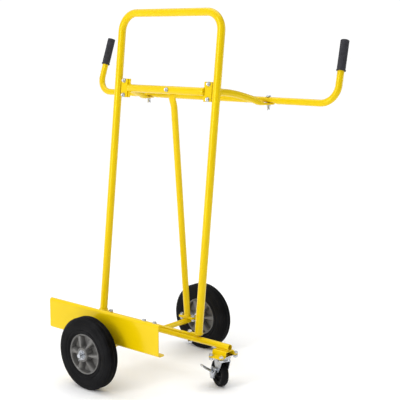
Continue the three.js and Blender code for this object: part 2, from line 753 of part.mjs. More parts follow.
// Inside the swivel group, +x trails behind the kingpin and +y is the brake's side.
function fork() {
  const { forkHalf, forkSheet, raceRadius, trail, wheelRadius } = CASTOR;
  const crownTop = 101;
  const boss = 11;
  const legShape = new THREE.Shape();
  legShape.moveTo(-22, crownTop);
  legShape.lineTo(-22, 94);
  legShape.quadraticCurveTo(4, 84, trail - boss, wheelRadius + 12);
  legShape.lineTo(trail - boss, wheelRadius);
  legShape.absarc(trail, wheelRadius, boss, Math.PI, 2 * Math.PI, false);
  legShape.lineTo(trail + boss - 2, crownTop);
  const legs = SIDES.map(([, sign]) => {
    const leg = new THREE.ExtrudeGeometry(legShape, {
      depth: forkSheet, bevelEnabled: false, curveSegments: 3,
    });
    const face = sign > 0 ? forkHalf + forkSheet : -forkHalf;
    return leg.rotateX(Math.PI / 2).translate(0, face, 0);
  });
  const width = 2 * (forkHalf + forkSheet);
  const crown = block(trail + boss + 20, width, forkSheet, (trail + boss - 24) / 2, 0,
    crownTop - forkSheet / 2);
  const dome = lathe([
    [0, crownTop - 1], [raceRadius - 1, crownTop - 1], [raceRadius - 3.5, raceGap], [0, raceGap + 1.6],
  ], 20).rotateX(Math.PI / 2);
  const lug = block(12, 7.6, 7, trail, forkHalf + forkSheet + 3.7, BRAKE.pivotZ);
  const pinHole = rod(BRAKE.pinHole, -20, 20, 10).rotateY(Math.PI / 2);
  pinHole.translate(trail, BRAKE.pivotY, BRAKE.pivotZ);
  const axleHole = rod(4.4, -30, 30, 12).rotateX(Math.PI / 2).translate(trail, 0, wheelRadius);
  return cut(join(crown, dome, ...legs, lug), rod(6, 90, 112, 16), pinHole, axleHole);
}

function kingpin() {
  const top = saddleBottom - GAP;
  return join(
    rod(5.5, 96, top + 2, 16),
    rod(9, 94.5, 98.2, 16),
    lathe([[0, top], [9, top + GAP], [7, top + 3], [0, top + 3.6]], 16).rotateX(Math.PI / 2),
  );
}

function castorTyre() {
  const { rimRadius, wheelRadius, wheelWidth } = CASTOR;
  const half = wheelWidth / 2;
  const side = [[rimRadius + 0.2, half - 1], [42, half], [46.4, half - 3], [wheelRadius, half - 7.5]];
  const lower = side.map(([r, y]) => [r, -y]);
  return lathe([...lower, ...side.reverse()], 28);
}

function castorHub() {
  const { rimRadius, wheelWidth } = CASTOR;
  const upper = [
    [rimRadius - GAP, wheelWidth / 2 - 2], [28, wheelWidth / 2 - 2], [28, 3], [11, 3],
    [11, 15.5], [4.5, 15.5],
  ];
  const lower = upper.map(([r, y]) => [r, -y]).reverse();
  return lathe([...lower, ...upper], 20);
}

// A pressed cover over the axle's end with a foot tongue above it, hung on two knuckles.
function brakeLever() {
  const { coverBottom, coverIn, coverOut, coverTop, halfLength, pivotY, pivotZ, sheet } = BRAKE;
  const middleX = CASTOR.trail;
  const depth = coverOut - coverIn;
  const outline = new THREE.Shape();
  outline.moveTo(-halfLength, coverTop);
  outline.lineTo(-halfLength, coverBottom + 14);
  outline.quadraticCurveTo(-halfLength + 2, coverBottom, 0, coverBottom);
  outline.quadraticCurveTo(halfLength - 2, coverBottom, halfLength, coverBottom + 14);
  outline.lineTo(halfLength, coverTop);
  const cover = new THREE.ExtrudeGeometry(outline, { depth, bevelEnabled: false, curveSegments: 5 });
  cover.rotateX(Math.PI / 2).translate(middleX, coverOut, 0);
  const hollow = block(2 * (halfLength - sheet), depth, coverTop - coverBottom - 2 * sheet - 3,
    middleX, (coverIn + coverOut) / 2 - sheet, (coverTop + coverBottom) / 2 + 1);
  const tongue = plate(BRAKE.tongueLength, 2 * halfLength, 12, sheet);
  tongue.translate(BRAKE.tongueLength / 2 - 4, 0, 0);
  tongue.rotateY(-THREE.MathUtils.degToRad(BRAKE.tongueDegrees)).rotateZ(Math.PI / 2);
  tongue.translate(middleX, coverOut - 5, coverTop - 2);
  const knuckles = [];
  for (const side of [-1, 1]) {
    const x = middleX + side * 10;
    const barrel = rod(BRAKE.knuckle, -3, 3, 12).rotateY(Math.PI / 2).translate(x, pivotY, pivotZ);
    knuckles.push(barrel, block(6, 9, 6, x, pivotY + 4.5, pivotZ - 4));
  }
  const hole = rod(BRAKE.pinHole, -LONG_DRILL, LONG_DRILL, 10).rotateY(Math.PI / 2);
  hole.translate(middleX, pivotY, pivotZ);
  return cut(join(cut(cover, hollow), tongue, ...knuckles), hole);
}

function buildCastor() {
  const { trail, wheelRadius, forkHalf, forkSheet } = CASTOR;
  add(trolley, 'castor_plate', castorPlate(), zinc, [CASTOR.x, 0, 0]);
  add(trolley, 'castor_kingpin', kingpin(), zinc, [CASTOR.x, 0, 0]);
  add(swivel, 'castor_fork', fork(), zinc);
  add(swivel, 'castor_tyre', castorTyre(), rubber, [trail, 0, wheelRadius]);
  add(swivel, 'castor_hub', castorHub(), rubber, [trail, 0, wheelRadius]);
  const across = 2 * (forkHalf + forkSheet);
  add(swivel, 'castor_axle_bolt', bolt(M8, across, 1).rotateX(-Math.PI / 2), zinc,
    [trail, across / 2, wheelRadius]);
  add(swivel, 'brake_lever', brakeLever(), zinc);
  const pin = rod(2, -16, 16, 10).rotateY(Math.PI / 2);
  add(swivel, 'brake_pin', pin, zinc, [trail, BRAKE.pivotY, BRAKE.pivotZ]);
}

// ---------------------------------------------------------------- the whole trolley

buildChassis();
buildFrame();
buildHandle();
add(trolley, 'axle_rod', axle(), zinc);
buildWheel('near', -1);
buildWheel('far', 1);
buildCastor();

// The model is drawn about the axle's midpoint, then moved so that its footprint is centred.
const footprint = new THREE.Box3().setFromObject(trolley, true).getCenter(new THREE.Vector3());
trolley.position.set(-footprint.x, -footprint.y, 0);

export default trolley;
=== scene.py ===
"""The looks of a side-loading panel trolley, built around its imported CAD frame.

Shapes are drawn in millimetres in the row's frame, and scaled to metres as each mesh is made.
+X runs along the main tube to the castor, +Y along the axle towards the handle bar, +Z up.
"""

import json
import math

import bmesh
import bpy
from mathutils import Matrix, Vector

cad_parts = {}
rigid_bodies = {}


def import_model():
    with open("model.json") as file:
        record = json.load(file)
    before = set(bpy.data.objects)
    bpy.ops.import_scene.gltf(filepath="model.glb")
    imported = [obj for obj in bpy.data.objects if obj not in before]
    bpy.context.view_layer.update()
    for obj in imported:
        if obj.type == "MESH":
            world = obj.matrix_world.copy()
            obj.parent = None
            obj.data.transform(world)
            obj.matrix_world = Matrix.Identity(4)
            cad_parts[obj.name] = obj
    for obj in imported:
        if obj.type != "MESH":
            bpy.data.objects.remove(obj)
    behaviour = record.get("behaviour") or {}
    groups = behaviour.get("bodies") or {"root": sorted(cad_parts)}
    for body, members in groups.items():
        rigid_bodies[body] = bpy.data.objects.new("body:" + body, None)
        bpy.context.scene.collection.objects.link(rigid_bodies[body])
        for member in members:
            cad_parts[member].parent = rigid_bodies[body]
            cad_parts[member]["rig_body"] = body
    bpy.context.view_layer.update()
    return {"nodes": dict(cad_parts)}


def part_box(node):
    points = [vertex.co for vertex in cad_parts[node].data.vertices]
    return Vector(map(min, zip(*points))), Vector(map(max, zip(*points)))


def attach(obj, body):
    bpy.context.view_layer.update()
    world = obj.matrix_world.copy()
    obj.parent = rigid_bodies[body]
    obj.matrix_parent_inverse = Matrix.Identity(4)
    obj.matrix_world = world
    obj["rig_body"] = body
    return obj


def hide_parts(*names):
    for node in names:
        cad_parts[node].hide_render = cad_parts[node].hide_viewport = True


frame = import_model()

# ---- driving dimensions, in mm

MM = 0.001
GAP = 0.3
TUBE_SIDES = 32
BEND_STEPS = 18
SIDES = (("left", -1), ("right", 1))
LEAN = math.radians(6.5)
SHARP_ANGLE = math.radians(38)      # edges that turn by more are kept crisp
HEX_SEGMENTS = 48

MAIN_TUBE = {"radius": 11, "wall": 2}
CROSS_TUBE = {"radius": 10, "wall": 1.9}
PLATE_CORNERS = {"deck_strip": 15, "cross_saddle_plate": 12, "strut_seat_plate": 8,
                 "left_foot_plate": 14, "right_foot_plate": 14}
GUARD = {"half_sheet": 1.5, "lip": 11, "bend": 7.5, "corner": 11, "lip_corner": 1.6}
SADDLE = {"half_sheet": 1.5, "base": 24.6, "crown": 19.8, "bend": 4, "corner": 7, "stack": 5.8}
HOOP = {"radius": 14, "half_span": 236, "height": 1104, "bend": 66}
CROSSBAR = {"radius": 14, "station": 832.5, "half_length": 181.5}
BRACKET = {"inner": 182, "outer": 221.6, "height": 76, "thickness": 5, "bolt_x": 203, "spacing": 53}
STRUT = {"radius": 12, "top_x": 18, "overhang": 13, "slope": -0.1103, "tongue": 6.4,
         "plate": (82, 36, 8), "plate_thickness": 4, "knee": 0.16}
HANDLE = {"radius": 12, "bend": 60, "half_span": 573, "rise": 208, "lean_in": 0.06,
          "lean_back": 0.304, "bolt_x": 291, "dent": 0.62, "dent_half": 38}
GRIP = {"radius": 15.2, "length": 108, "cap": 3}
ARM = {"radius": 12, "wall": 1.9, "tongue": 8, "overhang": 15, "splay": math.radians(14),
       "rise": 47.4, "run": 240}
WING = {"bolt_head": 5.2, "sheet": 3, "turn": math.radians(-62)}
BOLT = 8
WHEEL = {"radius": 125, "half_width": 25, "seat": 70.2, "rim": 69.7, "hub": 24, "hub_half": 30}
CASTOR = {"swivel": math.radians(156), "trail": 26, "radius": 48, "half_width": 13,
          "fork_half": 16, "sheet": 2.5, "hub_half": 15.4}
BRAKE = {"pivot_y": 23, "pivot_z": 66, "half_width": 15, "cover_back": 21, "cover_depth": 15,
         "cover_bottom": 19, "cover_top": 60, "tongue_root": (0, 30, 59)}
CAMERA = {"place": (2.3705, -2.4986, 1.1896), "down": 9.57, "turn": 40.70, "lens": 88.3}


def corners(node):
    """The lowest and highest corner of a CAD node, in millimetres."""
    low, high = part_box(node)
    return low / MM, high / MM


def middle(node):
    low, high = corners(node)
    return (low + high) / 2


CHASSIS_Y = middle("main_tube").y
FOOT_TOP = corners("left_foot_plate")[1].z
HANDLE_Y = middle("left_wing_bolt").y
HANDLE_Z = corners("left_wing_bolt")[1].z - WING["bolt_head"] - GAP - HANDLE["radius"]
AXLE_Z = middle("axle_rod").z
CROSS_TUBE_TOP = corners("cross_tube")[1].z

LEANING = Matrix.Translation((0, CHASSIS_Y, FOOT_TOP)) @ Matrix.Rotation(-LEAN, 4, "X")
SWIVEL = (Matrix.Translation((middle("castor_plate").x, CHASSIS_Y, 0))
          @ Matrix.Rotation(CASTOR["swivel"], 4, "Z"))
FACING_FRONT = Matrix.Rotation(math.pi / 2, 4, "X")     # what points up now points to -Y
FACING_BACK = Matrix.Rotation(-math.pi / 2, 4, "X")     # what points up now points to +Y
ALONG_X = Matrix(((0, 0, 1, 0), (1, 0, 0, 0), (0, 1, 0, 0), (0, 0, 0, 1)))


def at(x, y, z):
    return Matrix.Translation((x, y, z))


def in_scene(name, data):
    made = bpy.data.objects.new(name, data)
    bpy.context.scene.collection.objects.link(made)
    return made


# ---- materials

class Surface:
    """A procedural material, built up one layer at a time around a Principled shader."""

    def __init__(self, name, roughness, metallic=0.0, specular=None):
        self.material = bpy.data.materials.new(name)
        self.material.use_nodes = True
        self.tree = self.material.node_tree
        self.shader = self.tree.nodes["Principled BSDF"]
        self.shader.inputs["Metallic"].default_value = metallic
        self.shader.inputs["Roughness"].default_value = roughness
        if specular is not None:
            self.shader.inputs["Specular IOR Level"].default_value = specular
        self.place = self.tree.nodes.new("ShaderNodeTexCoord")
        self.height = None

    def node(self, kind, **values):
        made = self.tree.nodes.new(kind)
        for name, value in values.items():
            made.inputs[name].default_value = value
        return made

    def noise(self, scale, detail):
        made = self.node("ShaderNodeTexNoise", Scale=scale, Detail=detail)
        self.tree.links.new(self.place.outputs["Object"], made.inputs["Vector"])
        return made.outputs["Fac"]

    def cells(self, scale):
        made = self.node("ShaderNodeTexVoronoi", Scale=scale)
        self.tree.links.new(self.place.outputs["Object"], made.inputs["Vector"])
        return made.outputs["Color"]

    def colours(self, scale, detail, dark, light, span=(0.3, 0.7)):
        """The base colour, from dark to light over a span of a noise's value."""
        pattern = self.noise(scale, detail)
        ramp = self.tree.nodes.new("ShaderNodeValToRGB")
        for element, position, colour in zip(ramp.color_ramp.elements, span, (dark, light)):
            element.position = position
            element.color = (*colour, 1.0)
        self.tree.links.new(pattern, ramp.inputs["Fac"])
        self.tree.links.new(ramp.outputs["Color"], self.shader.inputs["Base Color"])

    def roughness(self, scale, detail, low, high):
        pattern = self.noise(scale, detail)
        spread = self.node("ShaderNodeMapRange", **{
            "From Min": 0.3, "From Max": 0.7, "To Min": low, "To Max": high})
        self.tree.links.new(pattern, spread.inputs["Value"])
        self.tree.links.new(spread.outputs["Result"], self.shader.inputs["Roughness"])

    def bump(self, pattern, strength, depth):
        """Relief of that depth in metres, on top of the relief that is already there."""
        made = self.node("ShaderNodeBump", Strength=strength, Distance=depth)
        self.tree.links.new(pattern, made.inputs["Height"])
        if self.height is not None:
            self.tree.links.new(self.height, made.inputs["Normal"])
        self.height = made.outputs["Normal"]
        self.tree.links.new(self.height, self.shader.inputs["Normal"])


def yellow_paint():
    """Powder coat: a soft orange-peel surface, and slightly uneven colour."""
    paint = Surface("yellow_paint", roughness=0.2, specular=0.7)
    paint.shader.inputs["Specular Tint"].default_value = (1.0, 0.86, 0.2, 1.0)
    paint.colours(9, 3, (0.735, 0.510, 0.001), (0.765, 0.535, 0.001))
    paint.roughness(30, 1, 0.16, 0.22)
    paint.bump(paint.noise(420, 2), 0.02, 0.0003)
    return paint.material


def zinc():
    """Bright zinc plating, with faint crystals and clouds."""
    plating = Surface("zinc", roughness=0.25, metallic=1.0)
    plating.colours(160, 3, (0.42, 0.44, 0.48), (0.62, 0.64, 0.67))
    plating.roughness(520, 2, 0.18, 0.36)
    plating.bump(plating.cells(900), 0.06, 0.0002)
    return plating.material


def tyre_rubber():
    """Moulded black rubber with fine grain and paler scuffs."""
    rubber = Surface("tyre_rubber", roughness=0.55, specular=0.08)
    rubber.colours(30, 5, (0.003, 0.003, 0.0035), (0.009, 0.009, 0.010), span=(0.35, 0.8))
    rubber.roughness(60, 4, 0.46, 0.68)
    rubber.bump(rubber.noise(1500, 3), 0.25, 0.0003)
    rubber.bump(rubber.noise(60, 2), 0.12, 0.0006)
    return rubber.material


def rim_grey():
    """Cast aluminium under a thin satin grey coat."""
    casting = Surface("rim_grey", roughness=0.42, metallic=0.4, specular=0.3)
    casting.colours(45, 4, (0.130, 0.127, 0.122), (0.180, 0.176, 0.170))
    casting.roughness(110, 3, 0.34, 0.52)
    casting.bump(casting.noise(700, 4), 0.18, 0.0003)
    return casting.material


def grip_rubber():
    """Soft matte rubber, very slightly blue."""
    grip = Surface("grip_rubber", roughness=0.6, specular=0.3)
    grip.colours(80, 3, (0.016, 0.016, 0.021), (0.030, 0.030, 0.038))
    grip.roughness(150, 2, 0.48, 0.66)
    grip.bump(grip.noise(2200, 2), 0.2, 0.0002)
    return grip.material


def bearing_steel():
    """Ground steel with fine turning marks."""
    steel = Surface("bearing_steel", roughness=0.3, metallic=1.0)
    steel.colours(300, 2, (0.44, 0.44, 0.45), (0.60, 0.60, 0.61))
    steel.roughness(700, 2, 0.24, 0.40)
    steel.bump(steel.noise(3000, 1), 0.1, 0.0001)
    return steel.material


MATERIALS = {make.__name__: make() for make in (
    yellow_paint, zinc, tyre_rubber, rim_grey, grip_rubber, bearing_steel,
)}


# ---- mesh helpers

def skin(rings, loop=False, caps=True):
    """A surface over rings of points. A ring has as many points as the others, or one."""
    mesh = bmesh.new()
    made = [[mesh.verts.new(point) for point in ring] for ring in rings]
    following = made[1:] + made[:1] if loop else made[1:]
    for lower, upper in zip(made, following):
        count = max(len(lower), len(upper))
        for i in range(count):
            j = (i + 1) % count
            quad = [lower[i % len(lower)], lower[j % len(lower)],
                    upper[j % len(upper)], upper[i % len(upper)]]
            mesh.faces.new(list(dict.fromkeys(quad)))
    if caps and not loop:
        for ring in (made[0], made[-1]):
            if len(ring) > 1:
                mesh.faces.new(ring)
    bmesh.ops.recalc_face_normals(mesh, faces=mesh.faces)
    return mesh


def turns(count):
    """The angles of that many even steps round a circle."""
    return [2 * math.pi * i / count for i in range(count)]


def eased(share):
    """A share held between 0 and 1, with a soft start and end."""
    t = min(1, max(0, share))
    return t * t * (3 - 2 * t)


def circle(radius, height, segments):
    if radius < 1e-6:
        return [(0, 0, height)]
    return [(radius * math.cos(a), radius * math.sin(a), height) for a in turns(segments)]


def turned(profile, segments=64):
    """A lathe body about Z from (radius, height) points: one that starts off the axis closes
    on itself."""
    rings = [circle(radius, height, segments) for radius, height in profile]
    return skin(rings, loop=profile[0][0] > 1e-6)


def rounded(points, steps=6):
    """The outline through (x, y, radius) corners, each rounded to its radius."""
    outline = []
    for i, (x, y, radius) in enumerate(points):
        corner = Vector((x, y))
        if radius == 0:
            outline.append((x, y))
            continue
        before = (Vector(points[i - 1][:2]) - corner).normalized()
        after = (Vector(points[(i + 1) % len(points)][:2]) - corner).normalized()
        half = before.angle(after) / 2
        centre = corner + (before + after).normalized() * (radius / math.sin(half))
        start = corner + before * (radius / math.tan(half)) - centre
        end = corner + after * (radius / math.tan(half)) - centre
        for step in range(steps + 1):
            outline.append(tuple(centre + start.slerp(end, step / steps)))
    return outline


def slab(outline, thickness):
    """An outline in X and Y, given thickness upwards from z = 0."""
    return skin([[(x, y, z) for x, y in outline] for z in (0, thickness)])


def rectangle(length, width, corner, steps=8):
    x, y = length / 2, width / 2
    return rounded([(x, y, corner), (-x, y, corner), (-x, -y, corner), (x, -y, corner)], steps)


def moved(mesh, matrix):
    bmesh.ops.transform(mesh, matrix=matrix, verts=mesh.verts)
    return mesh


def joined(*meshes):
    """One mesh that holds all the given ones."""
    whole = bmesh.new()
    for mesh in meshes:
        part = bpy.data.meshes.new("part")
        mesh.to_mesh(part)
        whole.from_mesh(part)
        mesh.free()
        bpy.data.meshes.remove(part)
    return whole


def piece(name, mesh, material, body, place=Matrix(), edge=0.0, stands_for=()):
    """A finished object in metres that rides on a CAD body. edge is the width of its rounding."""
    moved(mesh, place)
    data = bpy.data.meshes.new(name)
    moved(mesh, Matrix.Scale(MM, 4))
    bmesh.ops.recalc_face_normals(mesh, faces=mesh.faces)
    mesh.to_mesh(data)
    mesh.free()
    data.shade_smooth()
    data.set_sharp_from_angle(angle=SHARP_ANGLE)
    data.materials.append(MATERIALS[material])
    made = in_scene(name, data)
    if edge:
        bevel = made.modifiers.new("edge", "BEVEL")
        bevel.width = edge * MM
        bevel.segments = 3
        bevel.limit_method = "ANGLE"
        bevel.angle_limit = SHARP_ANGLE
        bevel.harden_normals = True
    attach(made, body)
    if stands_for:
        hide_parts(*stands_for)
    return made


def stand_in(node, mesh, material, place=Matrix(), edge=0.0):
    """The finished form of one CAD node, on the body that the node is on."""
    body = frame["nodes"][node]["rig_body"]
    return piece(f"{node}_finished", mesh, material, body, place, edge, stands_for=(node,))


def painted(node, mesh, place=Matrix(), edge=0.0):
    return stand_in(node, mesh, "yellow_paint", place, edge)


# ---- tubes

def run(start, end, spacing):
    """(point, tangent) stations along a straight run, both ends included."""
    start, end = Vector(start), Vector(end)
    tangent = (end - start).normalized()
    count = max(1, math.ceil((end - start).length / spacing))
    return [(start.lerp(end, i / count), tangent) for i in range(count + 1)]


def bent(points, bend_radius, spacing=400):
    """Stations along straight runs that meet in round bends."""
    points = [Vector(p) for p in points]
    stations = []
    start = points[0]
    for before, corner, after in zip(points, points[1:], points[2:]):
        inward = (corner - before).normalized()
        outward = (after - corner).normalized()
        turn = inward.angle(outward)
        setback = bend_radius * math.tan(turn / 2)
        axis = inward.cross(outward).normalized()
        bend_start = corner - inward * setback
        to_centre = axis.cross(inward) * bend_radius
        stations += run(start, bend_start, spacing)[:-1]
        for step in range(BEND_STEPS):
            turned_by = Matrix.Rotation(turn * step / BEND_STEPS, 3, axis)
            point = bend_start + to_centre - turned_by @ to_centre
            stations.append((point, turned_by @ inward))
        start = corner + outward * setback
    return stations + run(start, points[-1], spacing)


def hoops(stations, radius, side, sides=TUBE_SIDES):
    """A ring of points round each station. side is square to the whole route."""
    side = Vector(side).normalized()
    rings = []
    for point, tangent in stations:
        across = tangent.cross(side).normalized()
        ring = []
        for angle in turns(sides):
            ring.append(point + (side * math.cos(angle) + across * math.sin(angle)) * radius)
        rings.append(ring)
    return rings


def solid_tube(stations, radius, side, sides=TUBE_SIDES):
    return skin(hoops(stations, radius, side, sides))


def hollow_tube(stations, radius, wall, side):
    outer = hoops(stations, radius, side)
    inner = hoops(stations, radius - wall, side)
    return skin(outer + inner[::-1], loop=True)


def pressed(stations, rings, radius, half, press):
    """Squeezes a tube's rings of points flat towards one end, to a half thickness, and spreads
    them sideways. Distances are measured back from the end."""
    along, normal, end = press["along"], press["normal"], press["end"]
    sideways = along.cross(normal).normalized()
    result = []
    for (centre, _), ring in zip(stations, rings):
        back = (end - centre).dot(along)
        round_share = eased((back - press["flat"]) / (press["reach"] - press["flat"]))
        centre_off = (centre - end).dot(normal) * round_share
        fullness = 1 + 1.1 * (1 - round_share)
        reach = half + (radius - half) * round_share
        spread = (press["widening"] - 1) * (1 - round_share)
        flattened = []
        for point in ring:
            height = (point - centre).dot(normal) / radius
            full = math.copysign(1 - (1 - min(1, abs(height))) ** fullness, height)
            rise = centre_off + full * reach - (point - end).dot(normal)
            aside = (point - centre).dot(sideways) * spread
            flattened.append(point + normal * rise + sideways * aside)
        result.append(flattened)
    return result


def followed(path, closed=False):
    """A path's points as stations, each with the direction between its neighbours."""
    stations = []
    for i, point in enumerate(path):
        ahead = path[(i + 1) % len(path)] if closed or i + 1 < len(path) else point
        behind = path[i - 1] if closed or i > 0 else point
        stations.append((point, (ahead - behind).normalized()))
    return stations


def weld(name, path, radius, closed=False, up=(0, 0, 1)):
    """A rippled bead of weld along a path on the chassis, under the paint."""
    ripple, ripple_length = 0.13, 3.4
    path = [Vector(p) for p in path]
    up = Vector(up)
    rings = []
    travelled = 0
    for i, (point, tangent) in enumerate(followed(path, closed)):
        travelled += (point - path[i - 1]).length if i else 0
        across = tangent.cross(up).normalized()
        lift = across.cross(tangent)
        swell = 1 + ripple * math.cos(2 * math.pi * travelled / ripple_length)
        taper = 1 if closed else min(1, 0.25 + 0.35 * min(i, len(path) - 1 - i))
        size = radius * swell * taper
        rings.append([point + (across * math.cos(a) + lift * math.sin(a)) * size
                      for a in turns(10)])
    piece(name, skin(rings, loop=closed), "yellow_paint", "chassis")


def line(start, end, spacing=0.9):
    return [point for point, _ in run(start, end, spacing)]


# ---- fasteners

def hex_ring(across, height, chamfer=0.0):
    """A hexagon's outline as points. With a chamfer the corners bend towards that height."""
    flat = across / 2
    ring = []
    for angle in turns(HEX_SEGMENTS):
        reach = flat / math.cos((angle + math.pi / 6) % (math.pi / 3) - math.pi / 6)
        drop = (reach - 0.97 * flat) * 0.58
        ring.append((reach * math.cos(angle), reach * math.sin(angle), height + chamfer * drop))
    return ring


def hex_head(across, low, high):
    dish = high - 0.25
    return skin([circle(0.9 * across / 2, low, HEX_SEGMENTS), hex_ring(across, low),
                 hex_ring(across, high, chamfer=-1),
                 circle(0.97 * across / 2, high, HEX_SEGMENTS),
                 circle(0.86 * across / 2, high, HEX_SEGMENTS),
                 circle(0.80 * across / 2, dish, HEX_SEGMENTS), [(0, 0, dish)]])


def hex_nut(across, bore, low, high):
    face, mouth = 0.97 * across / 2, bore + 0.5
    top = [(face, high), (mouth, high), (bore, high - 0.5)]
    foot = [(bore, low + 0.5), (mouth, low)]
    rings = [circle(radius, height, HEX_SEGMENTS) for radius, height in top + foot]
    return skin([circle(face, low, HEX_SEGMENTS), hex_ring(across, low, chamfer=1),
                 hex_ring(across, high, chamfer=-1), *rings], loop=True)


def washer(outer, bore, low, high):
    round_off = 0.25
    return turned([(bore, low), (outer - round_off, low), (outer, low + round_off),
                   (outer, high - round_off), (outer - round_off, high), (bore, high)], 40)


def thread(radius, low, high, pitch=1.25):
    """A rod along Z with a real helical thread and a pointed lower end."""
    sides, root_taper = 24, 1.1
    steps = math.ceil((high - low) / pitch * 6)
    rings = []
    for step in range(steps + 1):
        z = low + (high - low) * step / steps
        ring = []
        for i, angle in enumerate(turns(sides)):
            phase = (z / pitch - i / sides) % 1
            depth = 0.5 * pitch * (1 - abs(2 * phase - 1))
            reach = min(radius - depth, radius - root_taper + (z - low))
            ring.append((reach * math.cos(angle), reach * math.sin(angle), z))
        rings.append(ring)
    return skin(rings)


def bolt(stack, tail):
    """A hexagon bolt, two washers and a nut. The clamped stack lies from z = 0 to -stack."""
    across = 1.59 * BOLT
    sheet = 1.5
    foot = -stack - GAP
    nut = 0.8 * BOLT
    return joined(
        hex_head(across, GAP + sheet, GAP + sheet + 0.6 * BOLT),
        washer(BOLT, 0.54 * BOLT, GAP, GAP + sheet),
        thread(BOLT / 2, foot - sheet - nut - tail, GAP + sheet + 0.2),
        washer(BOLT, 0.54 * BOLT, foot - sheet, foot),
        hex_nut(across, BOLT / 2, foot - sheet - nut, foot - sheet),
    )


# ---- chassis

def rounded_edge(station, corner, inward):
    """Rows of (point, tangent, shortening) that round the two corners at a sheet's free edge."""
    point, tangent = station
    rows = []
    for k in range(9):
        angle = math.pi / 2 * k / 8
        back = corner * (1 - math.sin(angle))
        rows.append((point + tangent * inward * back, tangent, corner * (1 - math.cos(angle))))
    return rows


def folded(path, bend_radius, sheet, half_length, first_corner, last_corner):
    """Sheet metal folded along a path in Y and Z, running along X, with rounded free corners."""
    stations = bent(path, bend_radius)
    rows = rounded_edge(stations[0], first_corner, 1)[::-1]
    rows += [(point, tangent, 0) for point, tangent in stations[1:-1]]
    rows += rounded_edge(stations[-1], last_corner, -1)
    rings = []
    for point, tangent, short in rows:
        offset = tangent.cross(Vector((1, 0, 0))) * (sheet / 2)
        reach = Vector((half_length - short, 0, 0))
        rings.append([point - offset - reach, point - offset + reach,
                      point + offset + reach, point + offset - reach])
    return skin(rings)


def flat_plate(node, corner):
    low, high = corners(node)
    mesh = slab(rectangle(high.x - low.x, high.y - low.y, corner), high.z - low.z)
    centre = (low + high) / 2
    painted(node, mesh, at(centre.x, centre.y, low.z), edge=0.8)


def wheel_guard():
    low, high = corners("wheel_guard")
    half_sheet = GUARD["half_sheet"]
    near, far, lip = low.y + half_sheet, high.y, low.y + GUARD["lip"]
    bottom, top = low.z + half_sheet, high.z - half_sheet
    path = [(0, far, bottom), (0, near, bottom), (0, near, top), (0, lip, top)]
    mesh = folded(path, GUARD["bend"], 2 * half_sheet, high.x, GUARD["corner"],
                  GUARD["lip_corner"])
    painted("wheel_guard", mesh, edge=0.7)


def guard_seat():
    low, high = corners("guard_seat")
    wall = 3
    depth, height = high.y - low.y, high.z - low.z
    outer = rectangle(depth, height, 3.5)
    inner = rectangle(depth - 2 * wall, height - 2 * wall, 1.2)
    length = high.x - low.x
    rings = [[(y, z, x) for y, z in outline] for outline, x in (
        (outer, 0), (outer, length), (inner, length), (inner, 0))]
    place = at(low.x, (low.y + high.y) / 2, (low.z + high.z) / 2) @ ALONG_X
    painted("guard_seat", skin(rings, loop=True), place, edge=0.4)
    for x in (low.x + 2, high.x - 2):
        weld(f"guard_seat_weld_{'left' if x < 0 else 'right'}",
             line((x, low.y + 3, high.z + 0.4), (x, high.y - 2, high.z + 0.4)), 1.6)


def castor_saddle():
    low, high = corners("castor_saddle")
    half_sheet, corner = SADDLE["half_sheet"], SADDLE["corner"]
    flange, top = low.z + half_sheet, high.z - half_sheet
    half_width = (high.y - low.y) / 2
    side = [(half_width, flange), (SADDLE["base"], flange), (SADDLE["crown"], top)]
    path = [(0, -y, z) for y, z in side] + [(0, y, z) for y, z in reversed(side)]
    mesh = folded(path, SADDLE["bend"], 2 * half_sheet, (high.x - low.x) / 2, corner, corner)
    place = at((low.x + high.x) / 2, CHASSIS_Y, 0)
    painted("castor_saddle", mesh, place, edge=0.7)
    for side_name, sign in (("front", -1), ("back", 1)):
        y = CHASSIS_Y + sign * 6.4
        weld(f"castor_saddle_weld_{side_name}",
             line((low.x + 3, y, high.z + 0.8), (high.x - 3, y, high.z + 0.8)), 2.0)


def seat_welds(node):
    """Two beads that hold a plate on the cross tube below it."""
    low, high = corners(node)
    for side_name, sign in SIDES:
        start = (sign * 4.6, low.y + 3, low.z - 0.7)
        end = (sign * 4.6, high.y - 3, low.z - 0.7)
        weld(f"{node}_weld_{side_name}", line(start, end), 1.7)


def build_chassis():
    low, high = corners("main_tube")
    height = middle("main_tube").z
    stations = run((low.x, CHASSIS_Y, height), (high.x, CHASSIS_Y, height), 60)
    mesh = hollow_tube(stations, MAIN_TUBE["radius"], MAIN_TUBE["wall"], (0, 1, 0))
    painted("main_tube", mesh, edge=0.5)
    low, high = corners("cross_tube")
    stations = run((0, low.y, AXLE_Z), (0, high.y, AXLE_Z), 60)
    mesh = hollow_tube(stations, CROSS_TUBE["radius"], CROSS_TUBE["wall"], (0, 0, 1))
    painted("cross_tube", mesh, edge=0.4)
    for node, corner in PLATE_CORNERS.items():
        flat_plate(node, corner)
    seat_welds("cross_saddle_plate")
    seat_welds("strut_seat_plate")
    wheel_guard()
    guard_seat()
    castor_saddle()


